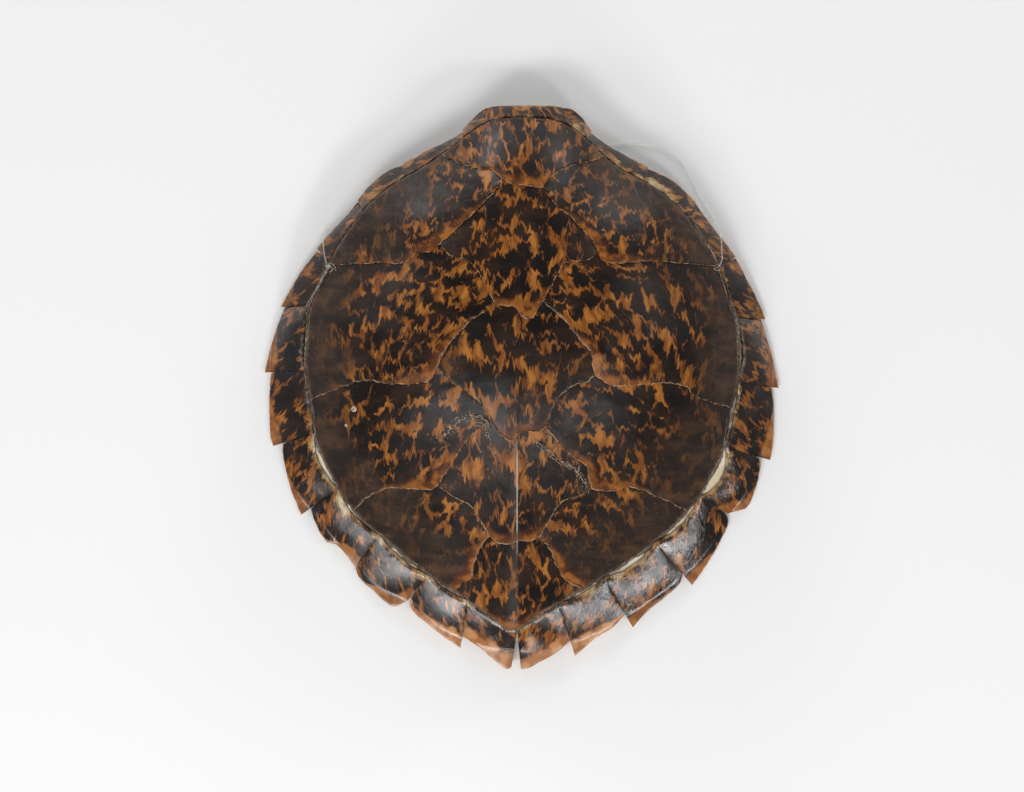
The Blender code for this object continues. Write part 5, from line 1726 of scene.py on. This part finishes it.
# %% Scatter tree
def scatter_tree():
    tree, given, sockets = new_tree("crumbs_on_plates", {
        "Plates": 'NodeSocketCollection', "Kind": 'NodeSocketVector', "Crumbs per square metre":
        'NodeSocketFloat', "Shape": 'NodeSocketVector', "Smallest": 'NodeSocketFloat',
        "Largest": 'NodeSocketFloat', "Tilt": 'NodeSocketFloat', "Seed": 'NodeSocketInt',
        "Finish": 'NodeSocketMaterial'})
    plates = add_node(tree, "GeometryNodeCollectionInfo", {"Collection": given["Plates"]}).outputs[0]
    plates = add_node(tree, "GeometryNodeRealizeInstances", {"Geometry": plates}).outputs[0]
    dirt = add_node(tree, "GeometryNodeInputNamedAttribute", {"Name": "dirt"}, data_type='FLOAT_VECTOR')
    share = vector_maths(tree, 'DOT_PRODUCT', dirt.outputs[0], given["Kind"])
    normal = tree.nodes.new("GeometryNodeInputNormal").outputs[0]
    upward = maths(tree, 'GREATER_THAN', apart(tree, normal)[2], 0.2)
    density = times(tree, share, given["Crumbs per square metre"])
    spots = add_node(tree, "GeometryNodeDistributePointsOnFaces",
                     {"Mesh": plates, "Selection": upward, "Density": density, "Seed": given["Seed"]})
    lean = add_node(tree, "ShaderNodeCombineXYZ", {"X": given["Tilt"], "Y": given["Tilt"], "Z": math.pi})
    back = vector_maths(tree, 'SCALE', lean.outputs[0], -1.0)
    turn = add_node(tree, "FunctionNodeRandomValue", {0: back, 1: lean.outputs[0], "Seed": given["Seed"]},
                    data_type='FLOAT_VECTOR')
    turn = add_node(tree, "FunctionNodeEulerToRotation", {"Euler": turn.outputs[0]}).outputs[0]
    turn = add_node(tree, "FunctionNodeRotateRotation", {"Rotation": spots.outputs["Rotation"],
                                                         "Rotate By": turn}, rotation_space='LOCAL')
    size = add_node(tree, "FunctionNodeRandomValue", {0: given["Smallest"], 1: given["Largest"], "Seed": 5},
                    data_type='FLOAT_VECTOR').outputs[0]
    size = vector_maths(tree, 'MULTIPLY', size, given["Shape"])
    crumb = add_node(tree, "GeometryNodeMeshIcoSphere", {"Radius": 0.5, "Subdivisions": 1}).outputs[0]
    crumbs = add_node(tree, "GeometryNodeInstanceOnPoints",
                      {"Points": spots.outputs["Points"], "Instance": crumb,
                       "Rotation": turn.outputs[0], "Scale": size})
    close_tree(tree, crumbs.outputs[0], given["Finish"])
    return tree, sockets


# %% Scatter dust, flakes and crust
CRUMBS = scatter_tree()
back_plates = bpy.data.collections.new("back_plates")
bpy.context.scene.collection.children.link(back_plates)
for obj, _, _ in plates.values():
    back_plates.objects.link(obj)
dust_finish = plain_material("pale_dust", "b5a98f", "d9cfb8", 0.8)
crust_finish = plain_material("gutter_crust", "4b3a2b", "806c56", 0.85)

for name, kind, thickly, shape, smallest, largest, tilt, seed, finish, slot in (
        ("edge_dust", (1, 0, 0), 2.4e6, (1.0, 0.8, 0.6), 0.12, 0.42, 0.5, 3, dust_finish, "bone"),
        ("torn_flakes", (0, 1, 0), 0.35e6, (2.6, 0.9, 0.25), 0.4, 1.1, 0.5, 4, strand_finish, "horn"),
        ("gutter_crust", (0, 0, 1), 1.8e6, (1.2, 0.9, 0.7), 0.25, 0.95, 0.6, 5, crust_finish, "bone")):
    crumbs = grown(name, bpy.data.meshes.new(name), *CRUMBS, {
        "Plates": back_plates, "Kind": kind, "Crumbs per square metre": thickly, "Shape": shape,
        "Smallest": smallest * MM, "Largest": largest * MM, "Tilt": tilt, "Seed": seed, "Finish": finish})
    hand_in(crumbs)
    print(name, len(crumbs.data.polygons) // 20, "crumbs")
bpy.data.collections.remove(back_plates)

# %% [markdown]
# ## Table and light
#
# The photograph is a plain studio shot on a white table, almost without shadow. Soft boxes behind
# the tail make the highlights on the rear rim. Two more shine from the front corners and make the
# haze beside the nape, weak ones at the sides and overhead lift the back, and the pale walls of the
# room fill the rest.

# %% Table
TABLE_HALF = 3.0
TABLE_TOP = -0.05                # just under the shell's feet, in millimetres

def table_material():
    material, tree, shader = start_material("white_table")
    cloud = noise(tree, object_place(tree), scale=3.0)
    fill_inputs(tree, shader, {"Base Color": mixed(tree, cloud, "fbfbfa", "fdfdfc"), "Roughness": 0.7})
    return material


corners = [(x * TABLE_HALF / MM, y * TABLE_HALF / MM, TABLE_TOP)
           for x, y in ((-1, -1), (1, -1), (1, 1), (-1, 1))]
table = save_mesh("table", corners, [(0, 1, 2, 3)], table_material())
print("table", 2 * TABLE_HALF, "m wide")

# %% Soft boxes
LIGHT_AWAY = 2.0
# Compass angle round the shell (90 is the front) and angle off the vertical, both in degrees, then
# width and height in metres, and glow, in units of a fully lit white table.
SOFT_BOXES = {
    "tail": (250, 36, 0.70, 0.40, 13.0),
    "tail_low": (268, 60, 0.60, 0.30, 9.5),
    "tail_left": (226, 48, 0.40, 0.40, 8.8),
    "tail_right": (312, 43, 0.30, 0.24, 25.0),
    "right": (12, 56, 0.60, 0.60, 2.8),
    "left": (160, 62, 0.90, 0.60, 2.6),
    "front_left": (115, 76, 0.80, 0.45, 9.5),
    "front_right": (58, 72, 0.80, 0.50, 6.5),
    "front_high": (75, 24, 0.60, 0.50, 1.0),
    "front_low": (90, 81, 2.60, 0.50, 1.6),
    "over_tail": (275, 17, 0.70, 0.50, 1.5),
}

for name, (compass, off_vertical, width, height, glow) in SOFT_BOXES.items():
    box = bpy.data.lights.new(name, 'AREA')
    box.shape = 'RECTANGLE'
    box.size, box.size_y = width, height
    box.energy = glow * math.pi * width * height
    light = bpy.data.objects.new(name, box)
    a, b = math.radians(compass), math.radians(off_vertical)
    light.location = Vector((math.cos(a) * math.sin(b), math.sin(a) * math.sin(b), math.cos(b))) * LIGHT_AWAY
    light.rotation_euler = (-light.location).to_track_quat('-Z', 'Y').to_euler()
    bpy.context.scene.collection.objects.link(light)
print("soft boxes", len(SOFT_BOXES))

# %% Room
ROOM_GLOW = 0.255


def studio_world():
    """Pale walls round a dimmer ceiling."""
    studio = bpy.data.worlds.new("studio")
    studio.use_nodes = True
    tree = studio.node_tree
    height = apart(tree, tree.nodes.new("ShaderNodeTexCoord").outputs["Generated"])[2]
    walls = mixed(tree, step(tree, height, 0.22, 0.50), "f8f9ff", "c8cad0")
    fill_inputs(tree, tree.nodes["Background"], {"Color": walls, "Strength": ROOM_GLOW})
    return studio


bpy.context.scene.world = studio_world()
bpy.context.scene.view_settings.view_transform = 'Standard'
